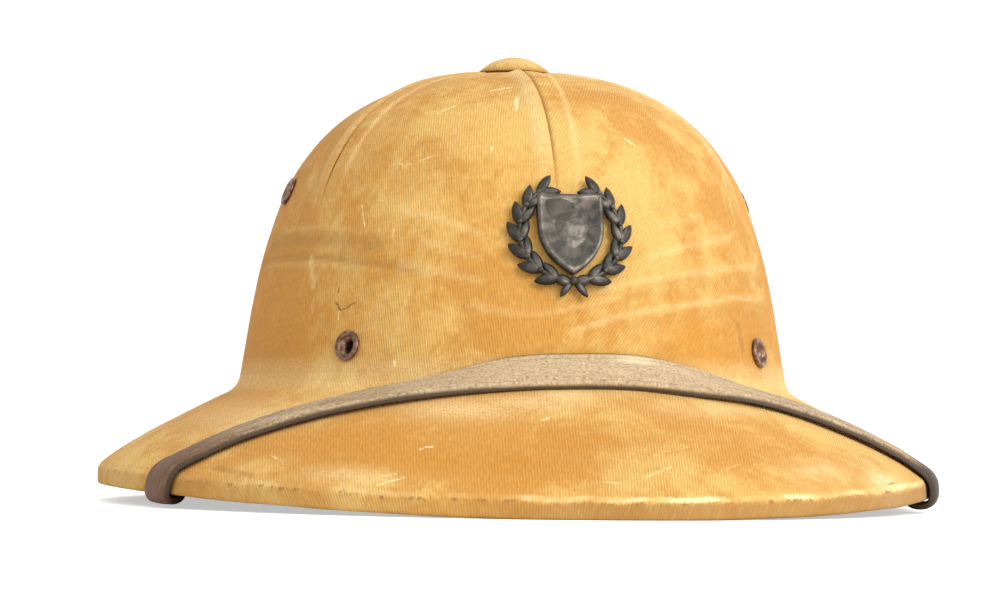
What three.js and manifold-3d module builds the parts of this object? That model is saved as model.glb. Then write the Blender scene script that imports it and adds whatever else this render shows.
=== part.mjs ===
// Pith helmet: a pressed fibre shell covered in cotton twill, with a cloth button on top, six eyelets,
// a leather chin strap stowed over the front of the brim, and a cast badge.
//
// The helmet is drawn as a round blank and then pressed oval. A point of the blank has a half-width r,
// a height z and an angle t round the crown. The front is at t = 0 and faces -Y, and t grows towards +X.
// Left and right are as seen from the front. The helmet stands on z = 0.

import * as THREE from 'three';
import { mergeVertices } from 'three/addons/utils/BufferGeometryUtils.js';
import Module from 'manifold-3d';

const wasm = await Module();
wasm.setup();

// Driving dimensions, in millimetres unless a name says degrees.
const CLOTH = 1.2;
const FIT = 0.35;
const SHELL = 2.2;
const CROWN_ASPECT = 1.19;
const BRIM_ASPECT = 1.225;
const PRESS_FROM = 88;
const PRESS_TO = 139.5;
const SADDLE = 6.0;

// Outer face of the crown: half-width and height at the helmet's sides, from the button hole to the wall.
const CROWN_ROWS = [
  { halfWidth: 3.2, height: 146.6 },
  { halfWidth: 21.3, height: 145.2 },
  { halfWidth: 42.4, height: 139.6 },
  { halfWidth: 61.2, height: 128.0 },
  { halfWidth: 75.1, height: 110.7 },
  { halfWidth: 83.0, height: 90.2 },
  { halfWidth: 87.8, height: 69.2 },
];
const FOOT_CORNER = { halfWidth: 92.9, height: 38.8, radius: 8 };

// Upper face of the brim: its slope steepens from the crown outwards.
const BRIM_ROWS = [
  { halfWidth: 98, height: 36.2 },
  { halfWidth: 110, height: 30.2 },
  { halfWidth: 122, height: 23.9 },
  { halfWidth: 132, height: 17.8 },
];
const LIP_CORNER = { halfWidth: 139.5, height: 12.2, radius: 4.6 };
const LIP_FOOT = 5.66;
const HEM_HEIGHT = 2.8;

const WELD = 1e-4;
const COLUMNS = 36;
const CROWN_STEPS = 9;
const BRIM_STEPS = 3;
const CORNER_STEPS = 2;
const GORES = 6;
const GORE_COLUMNS = 7;
const LAP_WIDTH = 7.4;
const LAP_EDGE = 3.4;
const LAP_STEP = 0.8;
const LAP_RAISE = 0.9;
const LAP_FADE = { flatHeight: 90, fullHeight: 120 };
const LAP_MOST_DEGREES = 26;

const BUTTON = { radius: 12.4, height: 5.4, brow: 0.7, fullness: 7.6, shank: 2.5, sides: 18 };
const CLENCH = { radius: 5, height: 1.2 };

const EYELET = { flange: 4.9, roll: 1.1, barrel: 3.3, bore: 1.7, inside: 4.2, insideHeight: 0.8, sides: 10 };
const EYELET_PLACES = [
  { name: 'eyelet_front_left', degrees: -46, height: 51 },
  { name: 'eyelet_front_right', degrees: 48.3, height: 51 },
  { name: 'eyelet_rear_left', degrees: -133, height: 51 },
  { name: 'eyelet_rear_right', degrees: 133, height: 51 },
  { name: 'eyelet_side_left', degrees: -83, height: 104 },
  { name: 'eyelet_side_right', degrees: 83, height: 104 },
];

const STRAP_WIDTH = 9;
const STRAP_THICK = 1.5;
const STRAP_LIFT = 0.4;
const STRAP_UNDER_LIFT = 0.9;
const STRAP_STEPS = 2;

// The strap's two edges where it lies on the front, from left to right: angle and half-width.
// The strap has slipped, so that it lies nearer to the crown on the right.
const STRAP_OVER_ROWS = [
  { lowerDegrees: -57, lowerHalfWidth: 134.7, upperDegrees: -59.3, upperHalfWidth: 130.4 },
  { lowerDegrees: -53, lowerHalfWidth: 125.4, upperDegrees: -55.5, upperHalfWidth: 120.4 },
  { lowerDegrees: -46, lowerHalfWidth: 114.6, upperDegrees: -48, upperHalfWidth: 109.2 },
  { lowerDegrees: -36, lowerHalfWidth: 105.5, upperDegrees: -37.3, upperHalfWidth: 99.4 },
  { lowerDegrees: -24, lowerHalfWidth: 99.1, upperDegrees: -25, upperHalfWidth: 93.2 },
  { lowerDegrees: -12, lowerHalfWidth: 95.1, upperDegrees: -12.3, upperHalfWidth: 91.8 },
  { lowerDegrees: 0, lowerHalfWidth: 94.1, upperDegrees: 0, upperHalfWidth: 91.6 },
  { lowerDegrees: 12, lowerHalfWidth: 94.2, upperDegrees: 12.4, upperHalfWidth: 91.6 },
  { lowerDegrees: 24, lowerHalfWidth: 96.9, upperDegrees: 24.6, upperHalfWidth: 92.1 },
  { lowerDegrees: 36, lowerHalfWidth: 101.6, upperDegrees: 37.2, upperHalfWidth: 95.2 },
  { lowerDegrees: 46, lowerHalfWidth: 109.8, upperDegrees: 47.8, upperHalfWidth: 104 },
  { lowerDegrees: 53, lowerHalfWidth: 120.4, upperDegrees: 55.4, upperHalfWidth: 115.8 },
  { lowerDegrees: 57.4, lowerHalfWidth: 131.6, upperDegrees: 60.2, upperHalfWidth: 128.6 },
];

// On either side the strap turns round the lip and runs under the brim to its rivet inside the crown.
const STRAP_TURNS = {
  shoulder: { lower: 58.4, upper: 62.8 },
  hem: { lower: 61.5, upper: 65.8 },
  rivet: { lower: 70.7, upper: 75.7 },
};
const STRAP_END_HEIGHT = 56;
const RIVET = { height: 50, head: 3.6, crest: 2.5, headHeight: 1.2, shank: 1.4, sides: 10 };

const BADGE = { height: 86, bendAcross: 72, bendUp: 220, post: 1.5, postRoot: 1, middle: 0.8 };
const WREATH = { radius: 16.2, pairs: 7, fromDegrees: 24, toDegrees: 150, stem: 0.9, stops: 8 };
const LEAF = { half: 3.9, halfWidth: 1.55, rise: 1.1, spreadDegrees: 27, leadDegrees: 4, outset: 1.5 };
const SHIELD = { halfWidth: 9.6, top: 12.6, dip: 1, waist: 2, belly: -7.3, point: -13.2 };
const SHIELD_PLATE = { depth: 1.4, bevel: 0.7 };
const BOW = { height: -16.2, halfWidth: 2.3, halfHeight: 1.85, rise: 1.45 };
const BOW_TAIL = { across: 2, down: 1.8, degrees: 34 };
const NUT = { radius: 4.6, height: 2.4 };

const twill = new THREE.MeshStandardMaterial({ color: 0xa9843f, roughness: 0.9, metalness: 0 });
const brimTwill = new THREE.MeshStandardMaterial({ color: 0xa47d3a, roughness: 0.9, metalness: 0 });
const fibre = new THREE.MeshStandardMaterial({ color: 0x8a7350, roughness: 0.85, metalness: 0 });
const leather = new THREE.MeshStandardMaterial({ color: 0x6e543c, roughness: 0.65, metalness: 0 });
const copper = new THREE.MeshStandardMaterial({ color: 0x7a5230, roughness: 0.45, metalness: 0.9 });
const bronze = new THREE.MeshStandardMaterial({ color: 0x3c3732, roughness: 0.4, metalness: 0.9 });

const radians = THREE.MathUtils.degToRad;

// Press a point of the round blank oval. The brim drops at front and back, and stops at its lowest flat.
function press(r, z, t, lowest = 0) {
  const spread = THREE.MathUtils.smoothstep(r, PRESS_FROM, PRESS_TO);
  const aspect = THREE.MathUtils.lerp(CROWN_ASPECT, BRIM_ASPECT, spread);
  const drop = SADDLE * spread * Math.cos(t) ** 2;
  return new THREE.Vector3(r * Math.sin(t), -r * aspect * Math.cos(t), Math.max(z - drop, lowest));
}

const flat = ({ halfWidth, height }) => new THREE.Vector2(halfWidth, height);

// An arc of the given radius, tangent to the two lines that meet in a corner.
function roundCorner(before, corner, after, radius, steps) {
  const back = before.clone().sub(corner).normalize();
  const onward = after.clone().sub(corner).normalize();
  const half = Math.acos(back.dot(onward)) / 2;
  const reach = radius / Math.tan(half);
  const middle = back.clone().add(onward).normalize();
  const centre = corner.clone().addScaledVector(middle, radius / Math.sin(half));
  const from = corner.clone().addScaledVector(back, reach).sub(centre);
  const to = corner.clone().addScaledVector(onward, reach).sub(centre);
  const sweep = Math.atan2(from.cross(to), from.dot(to));
  const origin = new THREE.Vector2();
  return Array.from({ length: steps + 1 }, (_, step) =>
    from.clone().rotateAround(origin, (sweep * step) / steps).add(centre));
}

// The outer face of the whole blank: the crown, then the brim from the crown's foot to the lip.
function outerProfile() {
  const wall = CROWN_ROWS.map(flat);
  const slope = BRIM_ROWS.map(flat);
  const lipFoot = new THREE.Vector2(LIP_CORNER.halfWidth, LIP_FOOT);
  const foot = roundCorner(wall.at(-1), flat(FOOT_CORNER), slope[0], FOOT_CORNER.radius, CORNER_STEPS);
  const shoulder = roundCorner(slope.at(-1), flat(LIP_CORNER), lipFoot, LIP_CORNER.radius, CORNER_STEPS);
  const crown = new THREE.SplineCurve([...wall, foot[0]]).getSpacedPoints(CROWN_STEPS);
  const brimTop = [foot.at(-1), ...slope.slice(1), shoulder[0]];
  const brim = new THREE.SplineCurve(brimTop).getSpacedPoints(BRIM_STEPS);
  return { crown, brim: [...foot, ...brim.slice(1), ...shoulder.slice(1), lipFoot] };
}

const profile = outerProfile();
const wholeProfile = [...profile.crown, ...profile.brim.slice(1)];

// The profile's own normals, worked out once so that every layer is offset from the same lines.
const normals = wholeProfile.map((_, i) => {
  const before = wholeProfile[Math.max(i - 1, 0)];
  const after = wholeProfile[Math.min(i + 1, wholeProfile.length - 1)];
  const along = after.clone().sub(before).normalize();
  return new THREE.Vector2(-along.y, along.x);
});

// The profile's points moved inwards by a depth, which is negative for a raised face.
function layer(depth, from = 0, to = wholeProfile.length) {
  return wholeProfile.slice(from, to).map((point, i) =>
    point.clone().addScaledVector(normals[from + i], -depth));
}

const crownEnd = profile.crown.length;
const SHELL_OUT = CLOTH + FIT;
const SHELL_IN = SHELL_OUT + SHELL;
// Pressing thickens the wall at front and back, and a flat piece inside stands off the wall's hollow face.
const INSIDE_SEAT = SHELL_IN * CROWN_ASPECT + 1.5 * FIT;

// A closed mesh from rings of points. Open rows of rings get a cap at each end.
function skin(rings, looped) {
  const count = rings[0].length;
  const positions = rings.flat().flatMap((point) => point.toArray());
  const index = [];
  const bands = looped ? rings.length : rings.length - 1;
  for (let ring = 0; ring < bands; ring++) {
    const next = (ring + 1) % rings.length;
    for (let i = 0; i < count; i++) {
      const j = (i + 1) % count;
      const [a, b] = [ring * count + i, ring * count + j];
      const [c, d] = [next * count + j, next * count + i];
      index.push(a, b, c, a, c, d);
    }
  }
  if (!looped) {
    const last = (rings.length - 1) * count;
    for (let i = 0; i < count / 2 - 1; i++) {
      const [a, b, c, d] = [i, i + 1, count - 2 - i, count - 1 - i];
      index.push(a, c, b, a, d, c);
      index.push(last + a, last + b, last + c, last + a, last + c, last + d);
    }
  }
  const geometry = new THREE.BufferGeometry();
  geometry.setAttribute('position', new THREE.Float32BufferAttribute(positions, 3));
  geometry.setIndex(index);
  return facingOut(geometry);
}

// Turn a closed mesh's triangles over where they enclose a negative volume.
function facingOut(geometry) {
  const place = geometry.getAttribute('position');
  const index = geometry.getIndex().array;
  const corner = (i) => new THREE.Vector3().fromBufferAttribute(place, index[i]);
  let volume = 0;
  for (let i = 0; i < index.length; i += 3) {
    volume += corner(i).dot(corner(i + 1).cross(corner(i + 2)));
  }
  if (volume < 0) geometry.setIndex(Array.from(index).reverse());
  return geometry;
}

// Booleans work on merged positions alone.
function closed(geometry) {
  const bare = geometry.clone();
  bare.deleteAttribute('normal');
  bare.deleteAttribute('uv');
  return facingOut(mergeVertices(bare, WELD));
}

function toSolid(geometry) {
  const merged = closed(geometry);
  return new wasm.Manifold(new wasm.Mesh({
    numProp: 3,
    vertProperties: new Float32Array(merged.getAttribute('position').array),
    triVerts: new Uint32Array(merged.getIndex().array),
  }));
}

function fromSolid(solid) {
  const mesh = solid.getMesh();
  const geometry = new THREE.BufferGeometry();
  geometry.setAttribute('position', new THREE.Float32BufferAttribute(mesh.vertProperties, 3));
  geometry.setIndex(Array.from(mesh.triVerts));
  return geometry;
}

function cut(geometry, cutters) {
  return fromSolid(cutters.reduce((solid, cutter) => solid.subtract(toSolid(cutter)), toSolid(geometry)));
}

const helmet = new THREE.Group();

function addPiece(name, geometry, material, matrix = new THREE.Matrix4()) {
  const mesh = new THREE.Mesh(geometry, material);
  mesh.name = name;
  mesh.applyMatrix4(matrix);
  helmet.add(mesh);
}

// The place on the cloth's outer face at an angle and a height: a frame whose y axis points out of it.
function seatOnCrown(t, height) {
  const below = profile.crown.findIndex((point) => point.y <= height);
  const [high, low] = [profile.crown[below - 1], profile.crown[below]];
  const share = (high.y - height) / (high.y - low.y);
  const r = THREE.MathUtils.lerp(high.x, low.x, share);
  const down = press(low.x, low.y, t).sub(press(high.x, high.y, t)).normalize();
  const step = 0.01;
  const round = press(r, height, t + step).sub(press(r, height, t - step)).normalize();
  const out = down.cross(round).normalize();
  return new THREE.Matrix4().makeBasis(round, out, round.clone().cross(out)).setPosition(press(r, height, t));
}

// A round hole through cloth and shell at a seat, longer than the wall is thick on either side of it.
function boreAt(seat, radius) {
  return new THREE.CylinderGeometry(radius, radius, 4 * SHELL_IN, EYELET.sides).applyMatrix4(seat);
}

const eyelets = EYELET_PLACES.map((place) => ({
  ...place,
  seat: seatOnCrown(radians(place.degrees), place.height),
}));
const badgeSeat = seatOnCrown(0, BADGE.height);
const strapMiddleDegrees = (STRAP_TURNS.rivet.lower + STRAP_TURNS.rivet.upper) / 2;
const rivetSeats = {
  left: seatOnCrown(radians(-strapMiddleDegrees), RIVET.height),
  right: seatOnCrown(radians(strapMiddleDegrees), RIVET.height),
};

const clothBores = [
  ...eyelets.map(({ seat }) => boreAt(seat, EYELET.barrel + FIT)),
  boreAt(badgeSeat, BADGE.post + FIT),
];
const rivetBores = Object.values(rivetSeats).map((seat) => boreAt(seat, RIVET.shank + FIT));

const columnAngles = Array.from({ length: COLUMNS }, (_, i) => (2 * Math.PI * i) / COLUMNS);

// A ring of the blank's section at one angle. Each point carries the height of its own flat foot.
function pressRing(points, t) {
  return points.map(({ x, y, lowest = 0 }) => press(x, y, t, lowest));
}

function fibreShell() {
  const footRise = CLOTH + FIT;
  const raised = (point) => ({ x: point.x, y: Math.max(point.y, LIP_FOOT + footRise), lowest: footRise });
  const section = [...layer(SHELL_OUT), ...layer(SHELL_IN).reverse()].map(raised);
  const body = skin(columnAngles.map((t) => pressRing(section, t)), true);
  return cut(body, [...clothBores, ...rivetBores]);
}

// The brim's cloth runs over the brim and round the lip, and is turned up inside it as a hem.
function brimCover() {
  const lipIn = LIP_CORNER.halfWidth - SHELL_IN - FIT;
  const hemTop = LIP_FOOT + CLOTH + HEM_HEIGHT;
  const outside = layer(0, crownEnd - 1);
  const inside = layer(CLOTH, crownEnd - 1);
  outside[0].y -= FIT;
  inside[0].y -= FIT;
  inside.at(-1).y += CLOTH;
  const section = [
    ...outside,
    new THREE.Vector2(lipIn - CLOTH, LIP_FOOT),
    new THREE.Vector2(lipIn - CLOTH, hemTop),
    new THREE.Vector2(lipIn, hemTop),
    Object.assign(new THREE.Vector2(lipIn, LIP_FOOT + CLOTH), { lowest: CLOTH }),
    Object.assign(inside.at(-1), { lowest: CLOTH }),
    ...inside.slice(0, -1).reverse(),
  ];
  return skin(columnAngles.map((t) => pressRing(section, t)), true);
}

// A seam stands up at the top of the crown and has been pressed flat further down.
function lapRaise(height) {
  return LAP_RAISE * THREE.MathUtils.smoothstep(height, LAP_FADE.flatHeight, LAP_FADE.fullHeight);
}

// One gore of the crown's cloth. Its first edge is folded under and laps the gore before it.
function crownGore(gore) {
  const rows = layer(0, 0, crownEnd);
  const under = layer(CLOTH, 0, crownEnd);
  const lapped = rows.map((point, i) => point.clone().addScaledVector(normals[i], lapRaise(point.y)));
  const most = radians(LAP_MOST_DEGREES);
  const seam = (2 * Math.PI * gore) / GORES;
  const nextSeam = (2 * Math.PI * (gore + 1)) / GORES;
  const turn = (width, r) => Math.min(width / r, most);

  const ring = (face, angleAt) => [
    ...face.map((point, i) => press(point.x, point.y, angleAt(rows[i].x))),
    ...under.map((point, i) => press(point.x, point.y, angleAt(rows[i].x))).reverse(),
  ];
  const edge = (r) => seam - turn(LAP_EDGE, r);
  const lapTop = (r) => edge(r) + turn(LAP_WIDTH - LAP_STEP, r);
  const lapEnd = (r) => edge(r) + turn(LAP_WIDTH, r) + turn(LAP_STEP, r) / 2;
  const last = (r) => nextSeam - turn(LAP_EDGE, r) - FIT / r;

  const rings = [ring(lapped, edge), ring(lapped, lapTop)];
  for (let column = 0; column <= GORE_COLUMNS; column++) {
    const share = column / GORE_COLUMNS;
    rings.push(ring(rows, (r) => THREE.MathUtils.lerp(lapEnd(r), last(r), share)));
  }
  return skin(rings, false);
}

// The button's dome, its shank through the crown, and the clench that holds it inside.
function topButton() {
  const top = CROWN_ROWS[0].height;
  const seatHeight = top + LAP_RAISE + FIT;
  const clenchTop = top - SHELL_IN - FIT;
  const crest = new THREE.QuadraticBezierCurve(
    new THREE.Vector2(BUTTON.radius, seatHeight + BUTTON.brow),
    new THREE.Vector2(BUTTON.fullness, seatHeight + BUTTON.height),
    new THREE.Vector2(0, seatHeight + BUTTON.height),
  ).getPoints(4);
  const line = [
    new THREE.Vector2(0, clenchTop - CLENCH.height),
    new THREE.Vector2(CLENCH.radius, clenchTop - CLENCH.height),
    new THREE.Vector2(CLENCH.radius, clenchTop),
    new THREE.Vector2(BUTTON.shank, clenchTop),
    new THREE.Vector2(BUTTON.shank, seatHeight),
    new THREE.Vector2(BUTTON.radius - BUTTON.brow / 2, seatHeight),
    ...crest,
  ];
  const upright = new THREE.Matrix4().makeRotationX(Math.PI / 2);
  return closed(new THREE.LatheGeometry(line, BUTTON.sides)).applyMatrix4(upright);
}

// An eyelet is a tube with a rolled flange outside and a flat one clenched inside.
function eyelet() {
  const inner = -INSIDE_SEAT;
  const roll = FIT + EYELET.roll;
  const line = [
    [EYELET.bore, inner - EYELET.insideHeight],
    [EYELET.inside, inner - EYELET.insideHeight],
    [EYELET.inside, inner],
    [EYELET.barrel, inner],
    [EYELET.barrel, FIT],
    [EYELET.flange, FIT],
    [EYELET.flange, FIT + EYELET.roll / 2],
    [(EYELET.flange + EYELET.barrel) / 2, roll],
    [(EYELET.bore + EYELET.barrel) / 2, roll],
    [EYELET.bore, FIT],
    [EYELET.bore, inner - EYELET.insideHeight],
  ].map(([radius, height]) => new THREE.Vector2(radius, height));
  return closed(new THREE.LatheGeometry(line, EYELET.sides));
}

// Height of the profile at a half-width, on the crown's wall or on the brim.
function heightAt(r) {
  const next = wholeProfile.findIndex((point) => point.x >= r);
  const [near, far] = [wholeProfile[next - 1], wholeProfile[next]];
  return THREE.MathUtils.lerp(near.y, far.y, (r - near.x) / (far.x - near.x));
}

// The strap's two edges where it lies over the front, on the face that meets the helmet.
function strapOver() {
  return STRAP_OVER_ROWS.map((row) => {
    const low = press(row.lowerHalfWidth, heightAt(row.lowerHalfWidth), radians(row.lowerDegrees));
    const high = press(row.upperHalfWidth, heightAt(row.upperHalfWidth), radians(row.upperDegrees));
    const across = high.sub(low).setLength(STRAP_WIDTH);
    low.add(new THREE.Vector3(low.x, low.y, 0).setLength(STRAP_LIFT).setZ(STRAP_LIFT));
    return { low, high: low.clone().add(across) };
  });
}

// Its two edges on one side, from the brim's shoulder round the lip and up to the rivet.
function strapUnder(side) {
  const lipOut = LIP_CORNER.halfWidth + STRAP_LIFT;
  const hemIn = LIP_CORNER.halfWidth - SHELL_IN - FIT - CLOTH - STRAP_LIFT;
  const bottom = LIP_FOOT - STRAP_LIFT;
  const shoulderStart = wholeProfile.length - 2 - CORNER_STEPS;
  const around = [
    ...layer(-STRAP_LIFT, shoulderStart, wholeProfile.length - 1),
    new THREE.Vector2(lipOut, bottom + STRAP_LIFT / 2),
    new THREE.Vector2(lipOut - STRAP_LIFT / 2, bottom),
    new THREE.Vector2(hemIn + STRAP_LIFT / 2, bottom),
    new THREE.Vector2(hemIn, bottom + STRAP_LIFT / 2),
  ];
  const beneath = layer(SHELL_IN + STRAP_UNDER_LIFT);
  const [wallUp, wallEnd] = beneath.slice(crownEnd - 2, crownEnd);
  const wallShare = (STRAP_END_HEIGHT - wallEnd.y) / (wallUp.y - wallEnd.y);
  const inward = [
    ...beneath.slice(crownEnd, shoulderStart).reverse(),
    wallEnd,
    wallEnd.clone().lerp(wallUp, wallShare),
  ];
  const station = ({ x, y }, from, to, share) => {
    const at = (edge) => side * radians(THREE.MathUtils.lerp(from[edge], to[edge], share));
    return { low: press(x, y, at('lower')), high: press(x, y, at('upper')) };
  };
  const { shoulder, hem, rivet } = STRAP_TURNS;
  return [
    ...around.map((point, i) => station(point, shoulder, hem, i / (around.length - 1))),
    ...inward.map((point, i) => station(point, hem, rivet, (i + 1) / inward.length)),
  ];
}

function chinStrap() {
  const stations = [...strapUnder(-1).reverse(), ...strapOver(), ...strapUnder(1)];
  const smooth = (points) => new THREE.CatmullRomCurve3(points).getPoints(STRAP_STEPS * (points.length - 1));
  const lowEdge = smooth(stations.map(({ low }) => low));
  const highEdge = smooth(stations.map(({ high }) => high));
  const rings = lowEdge.map((low, i) => {
    const high = highEdge[i];
    const before = Math.max(i - 1, 0);
    const after = Math.min(i + 1, lowEdge.length - 1);
    const run = lowEdge[after].clone().add(highEdge[after]).sub(lowEdge[before]).sub(highEdge[before]);
    const out = run.cross(high.clone().sub(low)).setLength(STRAP_THICK);
    return [low, high, high.clone().add(out), low.clone().add(out)];
  });
  return cut(skin(rings, false), rivetBores);
}

// A rivet's head lies on the strap inside the crown, and its shank ends flush in the fibre.
function strapRivet() {
  const strapIn = -SHELL_IN - STRAP_UNDER_LIFT - STRAP_THICK - 2 * FIT;
  const line = [
    [0, strapIn - RIVET.headHeight],
    [RIVET.crest, strapIn - RIVET.headHeight],
    [RIVET.head, strapIn],
    [RIVET.shank, strapIn],
    [RIVET.shank, -SHELL_OUT - FIT],
    [0, -SHELL_OUT - FIT],
  ].map(([radius, height]) => new THREE.Vector2(radius, height));
  return closed(new THREE.LatheGeometry(line, RIVET.sides));
}

// A leaf of the wreath: a lozenge with a ridge, laid at an angle.
function leaf(x, y, angle) {
  return new THREE.OctahedronGeometry(1)
    .scale(LEAF.half, LEAF.halfWidth, LEAF.rise)
    .rotateZ(angle)
    .translate(x, y, BADGE.middle);
}

// One branch of the wreath: a four-sided stem with pairs of leaves, on the side given by its sign.
function branch(side) {
  const at = (degrees, radius) => {
    const t = radians(degrees);
    return new THREE.Vector2(side * radius * Math.sin(t), -radius * Math.cos(t));
  };
  const sides = 4;
  const rings = Array.from({ length: WREATH.stops + 1 }, (_, i) => {
    const degrees = THREE.MathUtils.lerp(0, WREATH.toDegrees, i / WREATH.stops);
    return Array.from({ length: sides }, (_, corner) => {
      const turn = (corner / sides) * 2 * Math.PI;
      const { x, y } = at(degrees, WREATH.radius + WREATH.stem * Math.cos(turn));
      return new THREE.Vector3(x, y, BADGE.middle + WREATH.stem * Math.sin(turn));
    });
  });
  const pieces = [skin(rings, false)];
  for (let pair = 0; pair < WREATH.pairs; pair++) {
    const degrees = THREE.MathUtils.lerp(WREATH.fromDegrees, WREATH.toDegrees, pair / (WREATH.pairs - 1));
    for (const lean of [-1, 1]) {
      const { x, y } = at(degrees + LEAF.leadDegrees, WREATH.radius + lean * LEAF.outset);
      const along = side * (radians(degrees) - lean * radians(LEAF.spreadDegrees));
      pieces.push(leaf(x, y, along + (side < 0 ? Math.PI : 0)));
    }
  }
  return pieces;
}

function shieldPlate() {
  const { halfWidth, top, dip, waist, belly, point } = SHIELD;
  const { depth, bevel } = SHIELD_PLATE;
  const shape = new THREE.Shape();
  shape.moveTo(0, top - dip);
  shape.quadraticCurveTo(halfWidth / 2, top - dip, halfWidth, top);
  shape.lineTo(halfWidth, waist);
  shape.quadraticCurveTo(halfWidth, belly, 0, point);
  shape.quadraticCurveTo(-halfWidth, belly, -halfWidth, waist);
  shape.lineTo(-halfWidth, top);
  shape.quadraticCurveTo(-halfWidth / 2, top - dip, 0, top - dip);
  return new THREE.ExtrudeGeometry(shape, {
    depth,
    curveSegments: 4,
    bevelThickness: bevel,
    bevelSize: bevel,
    bevelSegments: 1,
  });
}

// The cast badge: a plain shield in a laurel wreath tied with a bow, bent to the crown, on one post.
function castBadge() {
  const postLength = INSIDE_SEAT + NUT.height + BADGE.postRoot;
  const knot = new THREE.OctahedronGeometry(1)
    .scale(BOW.halfWidth, BOW.halfHeight, BOW.rise)
    .translate(0, BOW.height, BADGE.middle);
  const tails = [-1, 1].map((side) =>
    leaf(side * BOW_TAIL.across, BOW.height - BOW_TAIL.down, radians(-90 + side * BOW_TAIL.degrees)));
  const post = new THREE.CylinderGeometry(BADGE.post, BADGE.post, postLength, EYELET.sides)
    .rotateX(Math.PI / 2)
    .translate(0, 0, BADGE.postRoot - postLength / 2);
  const pieces = [shieldPlate(), ...branch(-1), ...branch(1), knot, ...tails, post].map(toSolid);
  const geometry = fromSolid(pieces.reduce((whole, piece) => whole.add(piece)));
  const place = geometry.getAttribute('position');
  for (let i = 0; i < place.count; i++) {
    const sink = place.getX(i) ** 2 / (2 * BADGE.bendAcross) + place.getY(i) ** 2 / (2 * BADGE.bendUp);
    place.setZ(i, place.getZ(i) - sink);
  }
  return geometry;
}

function badgeNut() {
  const shape = new THREE.Shape();
  shape.absarc(0, 0, NUT.radius, 0, 2 * Math.PI);
  const hole = new THREE.Path();
  hole.absarc(0, 0, BADGE.post + FIT, 0, 2 * Math.PI);
  shape.holes.push(hole);
  const plain = { depth: NUT.height, curveSegments: 6, bevelEnabled: false };
  return closed(new THREE.ExtrudeGeometry(shape, plain));
}

addPiece('fibre_shell', fibreShell(), fibre);
addPiece('brim_cover', brimCover(), brimTwill);
for (let gore = 0; gore < GORES; gore++) {
  addPiece(`crown_gore_${gore + 1}`, cut(crownGore(gore), clothBores), twill);
}
addPiece('top_button', topButton(), twill);
for (const { name, seat } of eyelets) {
  addPiece(name, eyelet(), copper, seat);
}
addPiece('chin_strap', chinStrap(), leather);
for (const [side, seat] of Object.entries(rivetSeats)) {
  addPiece(`strap_rivet_${side}`, strapRivet(), copper, seat);
}

// The badge is drawn facing +Z with its top at +Y, and its seat faces +Y with its top at -Z.
const badgeStand = LAP_RAISE * CROWN_ASPECT / 2 + 2 * FIT + SHIELD_PLATE.bevel;
const faceOut = new THREE.Matrix4().makeRotationX(-Math.PI / 2);
const badgePlace = badgeSeat.clone().multiply(faceOut);
addPiece('badge', castBadge().translate(0, 0, badgeStand), bronze, badgePlace);
addPiece('badge_nut', badgeNut().translate(0, 0, -INSIDE_SEAT - NUT.height), bronze, badgePlace);

export default helmet;
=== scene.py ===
# %% [markdown]
# # A pith helmet
# The helmet is a pressed fibre shell covered in cotton twill: six gores sewn over the crown, and one
# cover over the brim that turns round the lip. A cloth button closes the top, six copper eyelets let
# air in, a leather chin strap is stowed over the front of the brim, and a cast badge sits on the front.
# The imported model is loaded first, as a fixed frame.

# %% Load the frame
import math

import bmesh
import bpy
from mathutils import Matrix, Vector, noise


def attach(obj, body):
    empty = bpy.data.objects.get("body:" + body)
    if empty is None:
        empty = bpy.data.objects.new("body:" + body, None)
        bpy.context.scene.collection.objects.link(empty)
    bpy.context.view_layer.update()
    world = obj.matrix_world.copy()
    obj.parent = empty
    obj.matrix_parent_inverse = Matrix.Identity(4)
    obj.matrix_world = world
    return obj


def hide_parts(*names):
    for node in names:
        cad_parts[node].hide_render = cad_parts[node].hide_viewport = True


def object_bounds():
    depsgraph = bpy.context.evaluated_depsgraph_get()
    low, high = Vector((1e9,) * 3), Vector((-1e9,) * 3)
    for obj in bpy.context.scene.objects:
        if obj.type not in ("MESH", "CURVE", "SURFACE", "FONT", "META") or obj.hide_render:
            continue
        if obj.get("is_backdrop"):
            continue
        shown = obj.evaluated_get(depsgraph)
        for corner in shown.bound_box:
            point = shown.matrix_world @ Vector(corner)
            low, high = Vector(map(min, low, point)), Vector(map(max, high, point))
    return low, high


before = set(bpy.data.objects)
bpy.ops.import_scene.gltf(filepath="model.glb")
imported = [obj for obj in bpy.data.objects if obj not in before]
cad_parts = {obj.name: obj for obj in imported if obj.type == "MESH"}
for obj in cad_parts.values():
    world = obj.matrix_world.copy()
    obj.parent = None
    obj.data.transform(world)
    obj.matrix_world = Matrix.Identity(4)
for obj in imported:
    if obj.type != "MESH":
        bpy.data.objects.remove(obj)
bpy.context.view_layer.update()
scene = bpy.context.scene
MM = 0.001

# %% [markdown]
# ## The camera
# The photograph was taken from about a metre away, a little to the helmet's left, with the lens only
# just above the table and tipped up. A long lens keeps the brim from looming. The camera's axes are
# written as three directions, so the small roll of the picture is one more turn of the same kind.

# %% Camera
IMAGE_WIDTH = 1000
AXIS_PIXEL_X = 511.3
CAMERA_DISTANCE = 1.0
CAMERA_HEIGHT = 0.0263
CAMERA_TURN = math.radians(-10.285)
CAMERA_PITCH = 0.044
CAMERA_ROLL = 0.012
LENS_MM = 104.97


def tipped(first, second, angle):
    """Two square directions, turned together from the first towards the second."""
    return (first * math.cos(angle) + second * math.sin(angle),
            second * math.cos(angle) - first * math.sin(angle))


level = Vector((-math.sin(CAMERA_TURN), math.cos(CAMERA_TURN), 0))
ahead, above = tipped(level, Vector((0, 0, 1)), CAMERA_PITCH)
right, above = tipped(level.cross(Vector((0, 0, 1))), above, CAMERA_ROLL)

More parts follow.
